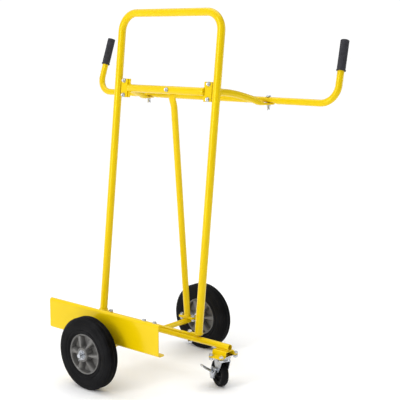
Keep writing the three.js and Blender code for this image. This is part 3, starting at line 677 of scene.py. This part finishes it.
def build_chassis_bolts():
    main_bottom = corners("main_tube")[0].z
    deck_top = corners("deck_strip")[1].z
    strut_top = corners("rear_strut")[0].z + STRUT["plate_thickness"]
    saddle_top = corners("castor_saddle")[0].z + 2 * SADDLE["half_sheet"]
    plate_bottom = saddle_top - SADDLE["stack"]
    places = []
    for side, _ in SIDES:
        places.append((f"{side}_leg_bolt", FOOT_TOP, FOOT_TOP - main_bottom, 6))
        places.append((f"{side}_tee_bolt", deck_top, deck_top - CROSS_TUBE_TOP - GAP, 2))
        places.append((f"{side}_strut_bolt", strut_top, strut_top - CROSS_TUBE_TOP - GAP, 2))
    for number in range(1, 5):
        places.append((f"castor_bolt_{number}", saddle_top, saddle_top - plate_bottom, 2))
    for turn, (node, top, stack, tail) in enumerate(places):
        centre = middle(node)
        place = at(centre.x, centre.y, top) @ Matrix.Rotation(0.4 * turn, 4, "Z")
        stand_in(node, bolt(stack, tail), "zinc", place, edge=0.15)


# ---- leaning frame

def level_end(ring):
    """Cuts a leg's end ring level with the foot plate below it."""
    return [Vector((p.x, p.y, (GAP + p.y * math.sin(LEAN)) / math.cos(LEAN))) for p in ring]


def foot_weld(name, matrix, radius, centre_x, height):
    path = []
    for angle in turns(56):
        point = Vector((centre_x + radius * math.cos(angle), radius * math.sin(angle), 0))
        point.z = (height + point.y * math.sin(LEAN)) / math.cos(LEAN)
        path.append(matrix @ point)
    weld(name, path, 2.2, closed=True)


def hoop_frame():
    half_span, height = HOOP["half_span"], HOOP["height"]
    path = [(-half_span, 0, 0), (-half_span, 0, height), (half_span, 0, height), (half_span, 0, 0)]
    rings = hoops(bent(path, HOOP["bend"], 120), HOOP["radius"], (0, 1, 0))
    rings[0] = level_end(rings[0])
    rings[-1] = level_end(rings[-1])
    painted("hoop_frame", skin(rings), LEANING)
    for side, sign in SIDES:
        foot_weld(f"{side}_leg_weld", LEANING, HOOP["radius"] + 0.6, sign * half_span, 1.3)


def bracket_plate(sign, inner, back):
    outer, height = BRACKET["outer"], BRACKET["height"]
    mesh = slab(rectangle(outer - inner, height, 5), BRACKET["thickness"])
    place = at(sign * (inner + outer) / 2, back, CROSSBAR["station"]) @ FACING_FRONT
    return moved(mesh, place)


def crossbar():
    station, half_length, radius = CROSSBAR["station"], CROSSBAR["half_length"], CROSSBAR["radius"]
    end = [(radius, half_length - 1.5), (radius - 0.8, half_length + 0.6),
           (radius - 3, half_length + 2.4), (radius - 6, half_length + 3.2), (0, half_length + 3.4)]
    profile = [(reach, -x) for reach, x in end[::-1]] + end
    tube = moved(turned(profile, 48), at(0, 0, station) @ ALONG_X)
    lap = 8
    back = BRACKET["thickness"] + GAP
    plates = [bracket_plate(sign, BRACKET["inner"] - lap, back) for _, sign in SIDES]
    painted("crossbar", joined(tube, *plates), LEANING, edge=0.8)


def bracket_welds(side, sign):
    """Beads down a leg's bracket, and above and below the crossbar's end."""
    station = CROSSBAR["station"]
    lean_up = LEANING.to_3x3() @ Vector((0, -1, 0))
    for face, normal in (("front", -4.6), ("rear", 0.4)):
        ends = [LEANING @ Vector((sign * 222.4, normal, station + up)) for up in (-35, 35)]
        weld(f"{side}_bracket_weld_{face}", line(*ends), 1.5, up=lean_up)
    for level, up in (("lower", -1), ("upper", 1)):
        ends = [LEANING @ Vector((sign * x, 3, station + up * 14.2)) for x in (173, 183)]
        weld(f"{side}_crossbar_weld_{level}", line(*ends), 1.7, up=lean_up)


def build_frame():
    hoop_frame()
    crossbar()
    thickness = BRACKET["thickness"]
    for side, sign in SIDES:
        painted(f"{side}_leg_bracket", bracket_plate(sign, BRACKET["inner"], 0),
                 LEANING, edge=0.8)
        bracket_welds(side, sign)
        for turn, (level, up) in enumerate((("lower", -1), ("upper", 1))):
            height = CROSSBAR["station"] + up * BRACKET["spacing"] / 2
            place = (LEANING @ at(sign * BRACKET["bolt_x"], -thickness, height) @ FACING_FRONT
                     @ Matrix.Rotation(0.3 + 0.5 * turn, 4, "Z"))
            stand_in(f"{side}_{level}_bracket_bolt", bolt(2 * thickness + GAP, 3), "zinc", place,
                     edge=0.15)
    radius = CROSSBAR["radius"]
    place = LEANING @ at(STRUT["top_x"], -radius, CROSSBAR["station"]) @ FACING_FRONT
    stand_in("crossbar_bolt", bolt(2 * radius + GAP + STRUT["tongue"], 3), "zinc", place, edge=0.15)


def rear_strut():
    """A tube on a foot plate, pressed flat at its top against the crossbar's back."""
    plate_low = corners("rear_strut")[0].z
    thickness = STRUT["plate_thickness"]
    foot_y = middle("strut_seat_plate").y
    radius, top_x = STRUT["radius"], STRUT["top_x"]
    seat = CROSSBAR["radius"] + GAP + STRUT["tongue"] / 2
    end = LEANING @ Vector((top_x, seat, CROSSBAR["station"] + STRUT["overhang"]))
    foot = Vector((0, foot_y, plate_low + thickness))
    top = Vector((top_x, foot_y + STRUT["slope"] * (end.z - foot.z), end.z))
    knee = top.lerp(foot, STRUT["knee"])
    stations = run(foot, knee, 60)[:-1] + run(knee, top, 3.5)
    along = (top - foot).normalized()
    normal = LEANING.to_3x3() @ Vector((0, 1, 0))
    sideways = along.cross(normal).normalized()
    press = {"end": end, "along": along, "normal": normal, "flat": 26, "reach": 75,
             "widening": 1.3}
    rings = pressed(stations, hoops(stations, radius, sideways), radius, STRUT["tongue"] / 2, press)
    foot_plate = moved(slab(rectangle(*STRUT["plate"]), thickness), at(0, foot_y, plate_low))
    painted("rear_strut", joined(skin(rings), foot_plate), edge=0.8)
    path = [(radius * 1.05 * math.cos(a), foot_y + radius * 1.05 * math.sin(a), foot.z + 1)
            for a in turns(48)]
    weld("strut_weld", path, 2.1, closed=True)


# ---- handle bar, arms and grips

def riser(sign, rise):
    return Vector((sign * (HANDLE["half_span"] - HANDLE["lean_in"] * rise),
                   HANDLE_Y + HANDLE["lean_back"] * rise, HANDLE_Z + rise))


def handle_bar():
    rise = HANDLE["rise"]
    path = [riser(-1, rise), riser(-1, 0), riser(1, 0), riser(1, rise)]
    side = (0, -1, HANDLE["lean_back"])
    mesh = solid_tube(bent(path, HANDLE["bend"], 9), HANDLE["radius"], side)
    dent, dent_half = HANDLE["dent"], HANDLE["dent_half"]
    inner = 0.5 * dent_half
    for vertex in mesh.verts:
        from_bolt = abs(abs(vertex.co.x) - HANDLE["bolt_x"])
        round_share = eased((from_bolt - inner) / (dent_half - inner))
        drop = vertex.co.z - HANDLE_Z
        if drop < 0:
            vertex.co.z = HANDLE_Z + drop * (dent + (1 - dent) * round_share)
    painted("handle_bar", mesh)


def arm_rise(distance):
    """How far an arm's centre line lies above its tongue, at a distance back from its end."""
    t = min(1, max(0, distance / ARM["run"])) ** 0.85
    return ARM["rise"] * (1 - math.cos(math.pi * t)) / 2


def support_arm(side, sign):
    """An arm that leaves a leg's back and ends in an open mouth, pressed flat under the bar."""
    along = Vector((sign * math.sin(ARM["splay"]), math.cos(ARM["splay"]), 0))
    nut_top = corners(f"{side}_wing_nut")[1].z
    tongue_z = nut_top + GAP + ARM["tongue"] / 2
    end = Vector((sign * HANDLE["bolt_x"], HANDLE_Y, tongue_z)) + along * ARM["overhang"]
    longest = 236
    step = 4
    stations = []
    for distance in range(longest, -1, -step):
        point = end - along * distance + Vector((0, 0, arm_rise(distance)))
        slope = arm_rise(distance - 1) - arm_rise(distance + 1)
        stations.append((point, (along * 2 + Vector((0, 0, slope))).normalized()))
    sideways = Vector((along.y, -along.x, 0))
    press = {"end": end, "along": along, "normal": Vector((0, 0, 1)), "flat": 34, "reach": 85,
             "widening": 1.25}
    half = ARM["tongue"] / 2
    outer, inner = ARM["radius"], ARM["radius"] - ARM["wall"]
    outside = pressed(stations, hoops(stations, outer, sideways), outer, half, press)
    inside = pressed(stations, hoops(stations, inner, sideways), inner, half - ARM["wall"], press)
    painted(f"{side}_support_arm", skin(outside + inside[::-1], loop=True),
             edge=0.4)
    arm_weld(side, sign, along, tongue_z)


def arm_weld(side, sign, along, tongue_z):
    """A bead round an arm's root, where it meets the back of the leg."""
    leg_axis = LEANING.to_3x3() @ Vector((0, 0, 1))
    root = LEANING @ Vector((sign * HOOP["half_span"], 0, CROSSBAR["station"]))
    sideways = Vector((along.y, -along.x, 0))
    centre = Vector((root.x, root.y, tongue_z + ARM["rise"]))
    path = []
    for angle in turns(60):
        point = centre + (sideways * math.cos(angle) + Vector((0, 0, math.sin(angle)))) * 12.4
        # Slide along the arm until the point is on the leg's surface.
        offset = point - root
        flat = offset - leg_axis * offset.dot(leg_axis)
        step = along - leg_axis * along.dot(leg_axis)
        b = flat.dot(step)
        c = flat.length_squared - (HOOP["radius"] + 0.6) ** 2
        travel = (-b + math.sqrt(max(0, b * b - step.length_squared * c))) / step.length_squared
        path.append(point + along * travel)
    weld(f"{side}_arm_weld", path, 1.9, closed=True, up=along)


def wing_bolt(side):
    low = corners(f"{side}_wing_bolt")[0]
    centre = middle(f"{side}_wing_bolt")
    head = HANDLE_Z + HANDLE["radius"] + GAP
    dome = [(0, head), (8.2, head), (8.6, head + 0.6), (8.4, head + 2.2), (7.3, head + 4.2),
            (5.2, head + 5.6), (2.7, head + 6.3), (0, head + 6.5)]
    mesh = joined(turned(dome, 48), thread(BOLT / 2, low.z, head + 0.2))
    stand_in(f"{side}_wing_bolt", mesh, "zinc", at(centre.x, centre.y, 0))


def wing_nut(side):
    """A hub with two rounded wings that hang below it."""
    centre = middle(f"{side}_wing_nut")
    top = corners(f"{side}_wing_nut")[1].z
    hub = turned([(4.2, 0), (7.2, 0), (7.6, -0.4), (7.6, -1.4), (6.9, -2.2), (6.3, -7.8),
                  (5.6, -9), (4.2, -9)], 40)
    wings = []
    for sign in (-1, 1):
        outline = rounded([(0, -8.5, 0), (6, -10, 3), (8.5, -22.4, 6), (17.4, -22.4, 5.4),
                           (16.6, -11, 6), (6, -1, 5), (0, -1, 0)], 8)
        wing = moved(slab(outline, WING["sheet"]), at(5.2, WING["sheet"] / 2, 0) @ FACING_FRONT)
        if sign < 0:
            moved(wing, Matrix.Rotation(math.pi, 4, "Z"))
        wings.append(wing)
    place = at(centre.x, centre.y, top) @ Matrix.Rotation(WING["turn"], 4, "Z")
    stand_in(f"{side}_wing_nut", joined(hub, *wings), "zinc", place, edge=0.9)


def grip(side, sign):
    """A rubber sleeve with lengthwise flutes, a lip at its mouth and a domed end."""
    radius, length, cap = GRIP["radius"], GRIP["length"], GRIP["cap"]
    bore = HANDLE["radius"] + GAP
    sides, flutes = 96, 24

    def fluted(height, reach, depth):
        ring = []
        for angle in turns(sides):
            groove = depth * (0.5 - 0.5 * math.cos(flutes * angle)) ** 2
            ring.append(((reach - groove) * math.cos(angle), (reach - groove) * math.sin(angle),
                         height))
        return ring

    rings = [[(0, 0, length - cap)], fluted(length - cap, bore, 0), fluted(0, bore, 0),
             fluted(0, radius + 0.4, 0), fluted(0.8, radius + 1.2, 0), fluted(4.6, radius + 1.2, 0),
             fluted(5.8, radius + 0.1, 0), fluted(7, radius - 0.5, 0), fluted(8.2, radius, 0)]
    rings += [fluted(height, radius, 0.9) for height in (10, 40, 70, 96)]
    rings += [fluted(98, radius, 0), fluted(99.4, radius - 0.6, 0), fluted(100.8, radius, 0),
              fluted(length - 3.2, radius, 0), fluted(length - 1.4, radius - 0.9, 0),
              fluted(length - 0.4, radius - 2.6, 0), fluted(length, radius - 5, 0),
              [(0, 0, length + 0.2)]]
    along = (riser(sign, 1) - riser(sign, 0)).normalized()
    base = riser(sign, HANDLE["rise"]) + along * (GAP + cap - length)
    place = Matrix.Translation(base) @ along.to_track_quat("Z", "Y").to_matrix().to_4x4()
    stand_in(f"{side}_grip", skin(rings), "grip_rubber", place)


def build_handle():
    rear_strut()
    handle_bar()
    for side, sign in SIDES:
        support_arm(side, sign)
        wing_bolt(side)
        wing_nut(side)
        grip(side, sign)


# ---- large wheels

def mirrored(half_profile):
    """A profile for both sides of a wheel, from the half of it that has positive heights."""
    return half_profile + [(radius, -height) for radius, height in half_profile[::-1]]


def tyre():
    side = [(WHEEL["seat"], 19.6), (71.4, 20.8), (74, 21.2), (75.6, 23.0), (78, 24.1), (82.6, 24.3),
            (83.6, 23.4), (85.2, 23.4), (86.2, 24.3), (96, 25.0), (104.4, 24.8), (105.2, 24.1),
            (106.6, 24.1), (107.4, 24.6), (113, 24.0), (118, 21.8), (121.8, 18.6), (122.2, 17.0),
            (123.6, 16.4), (124.6, 15.2)]
    for groove in (12.6, 9.4, 6.2, 3.0):
        side += [(125, groove + 1), (123.2, groove + 0.6), (123.2, groove - 0.6),
                 (125, groove - 1)]
    return turned(mirrored(side), 144)


def spoke_height(radius, angle, hub, barrel, web):
    """The height of a rim's face between its hub and its barrel: six rounded spokes on a web."""
    pitch = math.pi / 3
    off_centre = (angle + pitch / 2) % pitch - pitch / 2
    t = (radius - hub) / (barrel - hub)
    half_width = 5.6 + 7.6 * t
    crest = 25 - 8.5 * t
    share = min(1, abs(radius * math.sin(off_centre)) / half_width)
    return web + (crest - web) * (1 - share ** 2.4) ** 0.55


def rim():
    outer, hub, hub_half = WHEEL["rim"], WHEEL["hub"], WHEEL["hub_half"]
    pocket, shoulder, barrel, web, lip = 17.9, 19, 62.5, 1.5, 20.6
    segments = 192
    spokes = [hub + 1.5 + (barrel - hub - 1.5) * k / 14 for k in range(15)]
    flat = [(12, shoulder), (pocket, shoulder), (pocket, hub_half), (hub - 1, hub_half),
            (hub, hub_half - 1)]
    edge = [(barrel + 1.5, lip - 3.2), (barrel + 2.6, lip - 0.8), (barrel + 4, lip),
            (outer - 1.2, lip), (outer, lip - 1.2)]
    half = [circle(radius, height, segments) for radius, height in flat]
    for radius in spokes:
        ring = []
        for x, y, _ in circle(radius, 0, segments):
            height = spoke_height(radius, math.atan2(y, x), hub, barrel, web)
            ring.append((x, y, height))
        half.append(ring)
    half += [circle(radius, height, segments) for radius, height in edge]
    other = [[(x, y, -z) for x, y, z in ring] for ring in half[::-1]]
    return skin(half + other, loop=True)


def bearing():
    half, shield = 5.4, 0.7
    inner, outer = 7.8, 17.5
    face = [(inner, half - 0.4), (inner + 0.4, half), (10.2, half), (10.6, half - shield),
            (14.4, half - shield), (14.8, half), (outer - 0.5, half), (outer, half - 0.5)]
    return turned(mirrored(face), 64)


def split_pin():
    """A wire folded double: an eye above the axle, and two legs bent apart below it."""
    wire, eye, eye_height = 1.05, 3.7, 13.2
    leg = [(-5.2, -17.6), (-3.2, -13.6), (-1.15, -9.6), (-1.1, 0), (-1.1, 8.6), (-1.5, 9.9)]
    turn = [(eye * math.sin(a), eye_height - eye * math.cos(a))
            for a in (math.radians(-28 - 304 * i / 22) for i in range(23))]
    path = [Vector((0, y, z)) for y, z in leg + turn + [(-y, z) for y, z in reversed(leg)]]
    return solid_tube(followed(path), wire, (1, 0, 0), sides=12)


def build_wheel(side, facing):
    centre = at(*middle(f"{side}_tyre"))
    stand_in(f"{side}_tyre", tyre(), "tyre_rubber", centre @ facing)
    stand_in(f"{side}_rim", rim(), "rim_grey", centre @ facing)
    for place in ("inner", "outer"):
        node = f"{side}_{place}_bearing"
        stand_in(node, bearing(), "bearing_steel", at(*middle(node)) @ facing)
    node = f"{side}_washer"
    stand_in(node, washer(15, 8, -1.25, 1.25), "zinc", at(*middle(node)) @ facing, edge=0.2)
    node = f"{side}_split_pin"
    stand_in(node, split_pin(), "zinc", at(0, middle(node).y, AXLE_Z))


def axle_rod():
    low, high = corners("axle_rod")
    half = (high.y - low.y) / 2
    radius = 7.5
    profile = [(0, -half), (radius - 1.2, -half), (radius, -half + 1.2), (radius, half - 1.2),
               (radius - 1.2, half), (0, half)]
    place = at(0, (low.y + high.y) / 2, AXLE_Z) @ FACING_BACK
    stand_in("axle_rod", turned(profile, 48), "zinc", place, edge=0.2)


# ---- castor

def castor_plate():
    high = corners("castor_plate")[1]
    sheet = CASTOR["sheet"]
    bottom = high.z - sheet
    plate = moved(slab(rectangle(58, 92, 7), sheet), at(0, 0, bottom))
    cup = turned([(0, 109.4), (21, 107.6), (24.4, 107.5), (25.2, 108), (25.2, 109.4), (24.2, 110.2),
                  (23.6, 112), (23.9, bottom + 0.4), (0, bottom + 0.4)], 72)
    place = at(middle("castor_plate").x, CHASSIS_Y, 0)
    stand_in("castor_plate", joined(plate, cup), "zinc", place, edge=0.5)


def castor_kingpin():
    low, high = corners("castor_kingpin")
    profile = [(0, low.z), (6.5, low.z), (8.6, low.z + 1), (9, low.z + 3.6), (5.5, low.z + 3.8),
               (5.5, high.z - 3.4), (9, high.z - 3.4), (8.4, high.z - 1.4), (5, high.z - 0.2),
               (0, high.z)]
    place = at(middle("castor_plate").x, CHASSIS_Y, 0)
    stand_in("castor_kingpin", turned(profile, 40), "zinc", place, edge=0.2)


def castor_fork():
    """Two pressed legs under a domed crown, and the lug that the brake lever hangs on."""
    sheet, half = CASTOR["sheet"], CASTOR["fork_half"]
    crown_top = 101
    outline = rounded([(-22, crown_top, 0), (-22, 92, 5), (7, 82, 18), (14, 62, 14), (15, 37, 10.5),
                       (37, 37, 10.5), (37, 62, 14), (35, crown_top, 0)], 10)
    legs = []
    for face in (-half, half + sheet):
        legs.append(moved(slab(outline, sheet), at(0, face, 0) @ FACING_FRONT))
    width = 2 * (half + sheet)
    crown = moved(slab(rectangle(57, width, 3), sheet), at(6.5, 0, crown_top - sheet))
    dome = turned([(0, 100), (23.6, 100), (24, 100.6), (24, 102), (22.8, 103.4), (21.9, 105.4),
                   (21.2, 106.9), (0, 108.6)], 72)
    lug = moved(slab(rectangle(12, 8.2, 1.5), 7), at(CASTOR["trail"], half + sheet + 3.9, 62.5))
    stand_in("castor_fork", joined(*legs, crown, dome, lug), "zinc", SWIVEL, edge=0.9)


def castor_wheel():
    half = CASTOR["half_width"]
    side = [(34.2, half - 1.2), (35.6, half - 0.5), (40, half), (42.4, half - 0.3),
            (44.8, half - 1.6), (46.6, half - 3.8), (47.6, half - 6.4), (48, half - 9.6)]
    centre = SWIVEL @ at(CASTOR["trail"], 0, CASTOR["radius"])
    stand_in("castor_tyre", turned(mirrored(side), 96), "tyre_rubber", centre @ FACING_BACK)
    hub = CASTOR["hub_half"]
    face = [(4.6, hub), (9.6, hub), (10.8, 14.4), (11.6, 4.4), (12.6, 3.4), (26.6, 3.4),
            (28, 4.6), (28.8, 10.2), (30, 10.8), (33.6, 10.8)]
    stand_in("castor_hub", turned(mirrored(face), 72), "tyre_rubber", centre @ FACING_BACK)
    width = 2 * (CASTOR["fork_half"] + CASTOR["sheet"])
    place = SWIVEL @ at(CASTOR["trail"], width / 2, CASTOR["radius"]) @ FACING_BACK
    stand_in("castor_axle_bolt", bolt(width, 1), "zinc", place, edge=0.15)


def brake_cover():
    """A pressed cup over the axle's end, open towards the fork."""
    back, depth, sheet = BRAKE["cover_back"], BRAKE["cover_depth"], 1.8
    bottom, top, half = BRAKE["cover_bottom"], BRAKE["cover_top"], BRAKE["half_width"]
    outline = rounded([(-half, top, 4), (-half, bottom, 13), (half, bottom, 13), (half, top, 4)], 12)
    centre = Vector((0, (bottom + top) / 2))
    rings = []
    for outer in (True, False):
        inset = 0 if outer else sheet
        for share in (1.0, 0.985, 0.95, 0.89, 0.80, 0.66, 0.4):
            rise = (depth - inset) * (1 - share ** 9) ** (1 / 2.4)
            ring = []
            for x, z in outline:
                point = centre + (Vector((x, z)) - centre) * share
                inward = (centre - point).normalized() * inset * share
                ring.append((point.x + inward.x, back + rise, point.y + inward.y))
            rings.append(ring)
        rings.append([(0, back + depth - inset, centre.y)])
    outer, inner = rings[:8], rings[8:]
    return skin(outer[::-1] + inner)


def brake_tongue():
    """The foot tongue: a strip, arched across, that rises outwards and ends round."""
    length, half_width, sheet, arch = 50, BRAKE["half_width"], 2.0, 7
    climb = 0.593
    steps = 26
    across = [2 * k / 12 - 1 for k in range(13)]
    rings = []
    for step in range(steps + 1):
        along = length * step / steps
        past = max(0, along - (length - half_width))
        width = math.sqrt(max(0.5, half_width ** 2 - past ** 2))
        centre = Vector((0, along * math.cos(climb), along * math.sin(climb)))
        raised = Vector((0, -math.sin(climb), math.cos(climb)))
        lower = []
        for share in across:
            x = share * width
            lower.append(centre + Vector((x, 0, 0)) - raised * arch * (x / half_width) ** 2)
        rings.append(lower + [point + raised * sheet for point in lower[::-1]])
    return moved(skin(rings), at(*BRAKE["tongue_root"]))


def brake_lever():
    pivot_y, pivot_z = BRAKE["pivot_y"], BRAKE["pivot_z"]
    knuckles = []
    for sign in (-1, 1):
        ring = turned([(2.3, -3), (3.8, -3), (3.8, 3), (2.3, 3)], 32)
        knuckles.append(moved(ring, at(sign * 10, pivot_y, pivot_z) @ ALONG_X))
        ear = slab(rounded([(-3.4, 0, 0), (3.4, 0, 0), (3.4, -9, 2), (-3.4, -9, 2)]), 6)
        knuckles.append(moved(ear, at(sign * 10 - 3, pivot_y + 3, pivot_z - 1) @ ALONG_X))
    mesh = joined(brake_cover(), brake_tongue(), *knuckles)
    stand_in("brake_lever", mesh, "zinc", SWIVEL @ at(CASTOR["trail"], 0, 0), edge=0.4)
    pin = turned([(0, -16.4), (2.6, -16.4), (3.2, -15.6), (2, -14.8), (2, 14.8), (3.2, 15.6),
                  (2.6, 16.4), (0, 16.4)], 32)
    place = SWIVEL @ at(CASTOR["trail"], pivot_y, pivot_z) @ ALONG_X
    stand_in("brake_pin", pin, "zinc", place)


def build_castor():
    castor_plate()
    castor_kingpin()
    castor_fork()
    castor_wheel()
    brake_lever()


# ---- studio

def pale_floor():
    size = 40
    data = bpy.data.meshes.new("studio_floor")
    data.from_pydata([(-size, -size, 0), (size, -size, 0), (size, size, 0), (-size, size, 0)], [],
                     [(0, 1, 2, 3)])
    floor = in_scene("studio_floor", data)
    surface = Surface("studio_white", roughness=0.9, specular=0.0)
    surface.colours(0.5, 1, (0.96, 0.96, 0.96), (0.97, 0.97, 0.97))
    data.materials.append(surface.material)


def soft_light(name, place, aim, size, power):
    data = bpy.data.lights.new(name, "AREA")
    data.shape = "RECTANGLE"
    data.size, data.size_y = size
    data.energy = power
    light = in_scene(name, data)
    light.location = place
    light.rotation_euler = (Vector(aim) - Vector(place)).to_track_quat("-Z", "Y").to_euler()


def overhead_light(strength, spread):
    data = bpy.data.lights.new("overhead_light", "SUN")
    data.energy = strength
    data.angle = math.radians(spread)
    in_scene("overhead_light", data).rotation_euler = (math.radians(-8), math.radians(-8), 0)


def surroundings(bright, dim, towards):
    """A white backdrop, and around it a room that is brighter towards one direction."""
    world = bpy.data.worlds.new("studio")
    bpy.context.scene.world = world
    world.use_nodes = True
    tree = world.node_tree
    room = tree.nodes["Background"]
    place, facing, level, backdrop, rays, mix = (tree.nodes.new("ShaderNode" + kind) for kind in (
        "TexCoord", "VectorMath", "MapRange", "Background", "LightPath", "MixShader"))
    facing.operation = "DOT_PRODUCT"
    facing.inputs[1].default_value = Vector(towards).normalized()
    level.inputs["From Min"].default_value = -1
    level.inputs["To Min"].default_value = dim
    level.inputs["To Max"].default_value = bright
    room.inputs["Color"].default_value = (1, 1, 1, 1)
    backdrop.inputs["Color"].default_value = (1, 1, 1, 1)
    backdrop.inputs["Strength"].default_value = 1.05
    for output, entry in (
        (place.outputs["Generated"], facing.inputs[0]),
        (facing.outputs["Value"], level.inputs["Value"]),
        (level.outputs["Result"], room.inputs["Strength"]),
        (rays.outputs["Is Camera Ray"], mix.inputs["Fac"]),
        (room.outputs["Background"], mix.inputs[1]),
        (backdrop.outputs["Background"], mix.inputs[2]),
        (mix.outputs["Shader"], tree.nodes["World Output"].inputs["Surface"]),
    ):
        tree.links.new(output, entry)


def studio():
    bpy.context.scene.view_settings.view_transform = "Standard"
    surroundings(bright=0.75, dim=0.25, towards=(-0.8, -0.5, 0.3))
    aim = (0, 0, 1.5)
    soft_light("key_light", (-0.5, -3.8, 2.1), aim, (1.3, 3.2), 82)
    soft_light("rim_light", (2.6, 3.0, 2.0), aim, (0.6, 2.6), 24)
    overhead_light(strength=1.65, spread=70)


def camera():
    data = bpy.data.cameras.new("camera")
    data.lens = CAMERA["lens"]
    data.sensor_width = 36
    data.clip_end = 100
    made = in_scene("camera", data)
    made.location = CAMERA["place"]
    made.rotation_euler = (math.radians(90 - CAMERA["down"]), 0, math.radians(CAMERA["turn"]))
    bpy.context.scene.camera = made


# ---- the whole trolley

camera()
studio()
pale_floor()
build_chassis()
build_chassis_bolts()
build_frame()
build_handle()
axle_rod()
build_wheel("near", FACING_FRONT)
build_wheel("far", FACING_BACK)
build_castor()
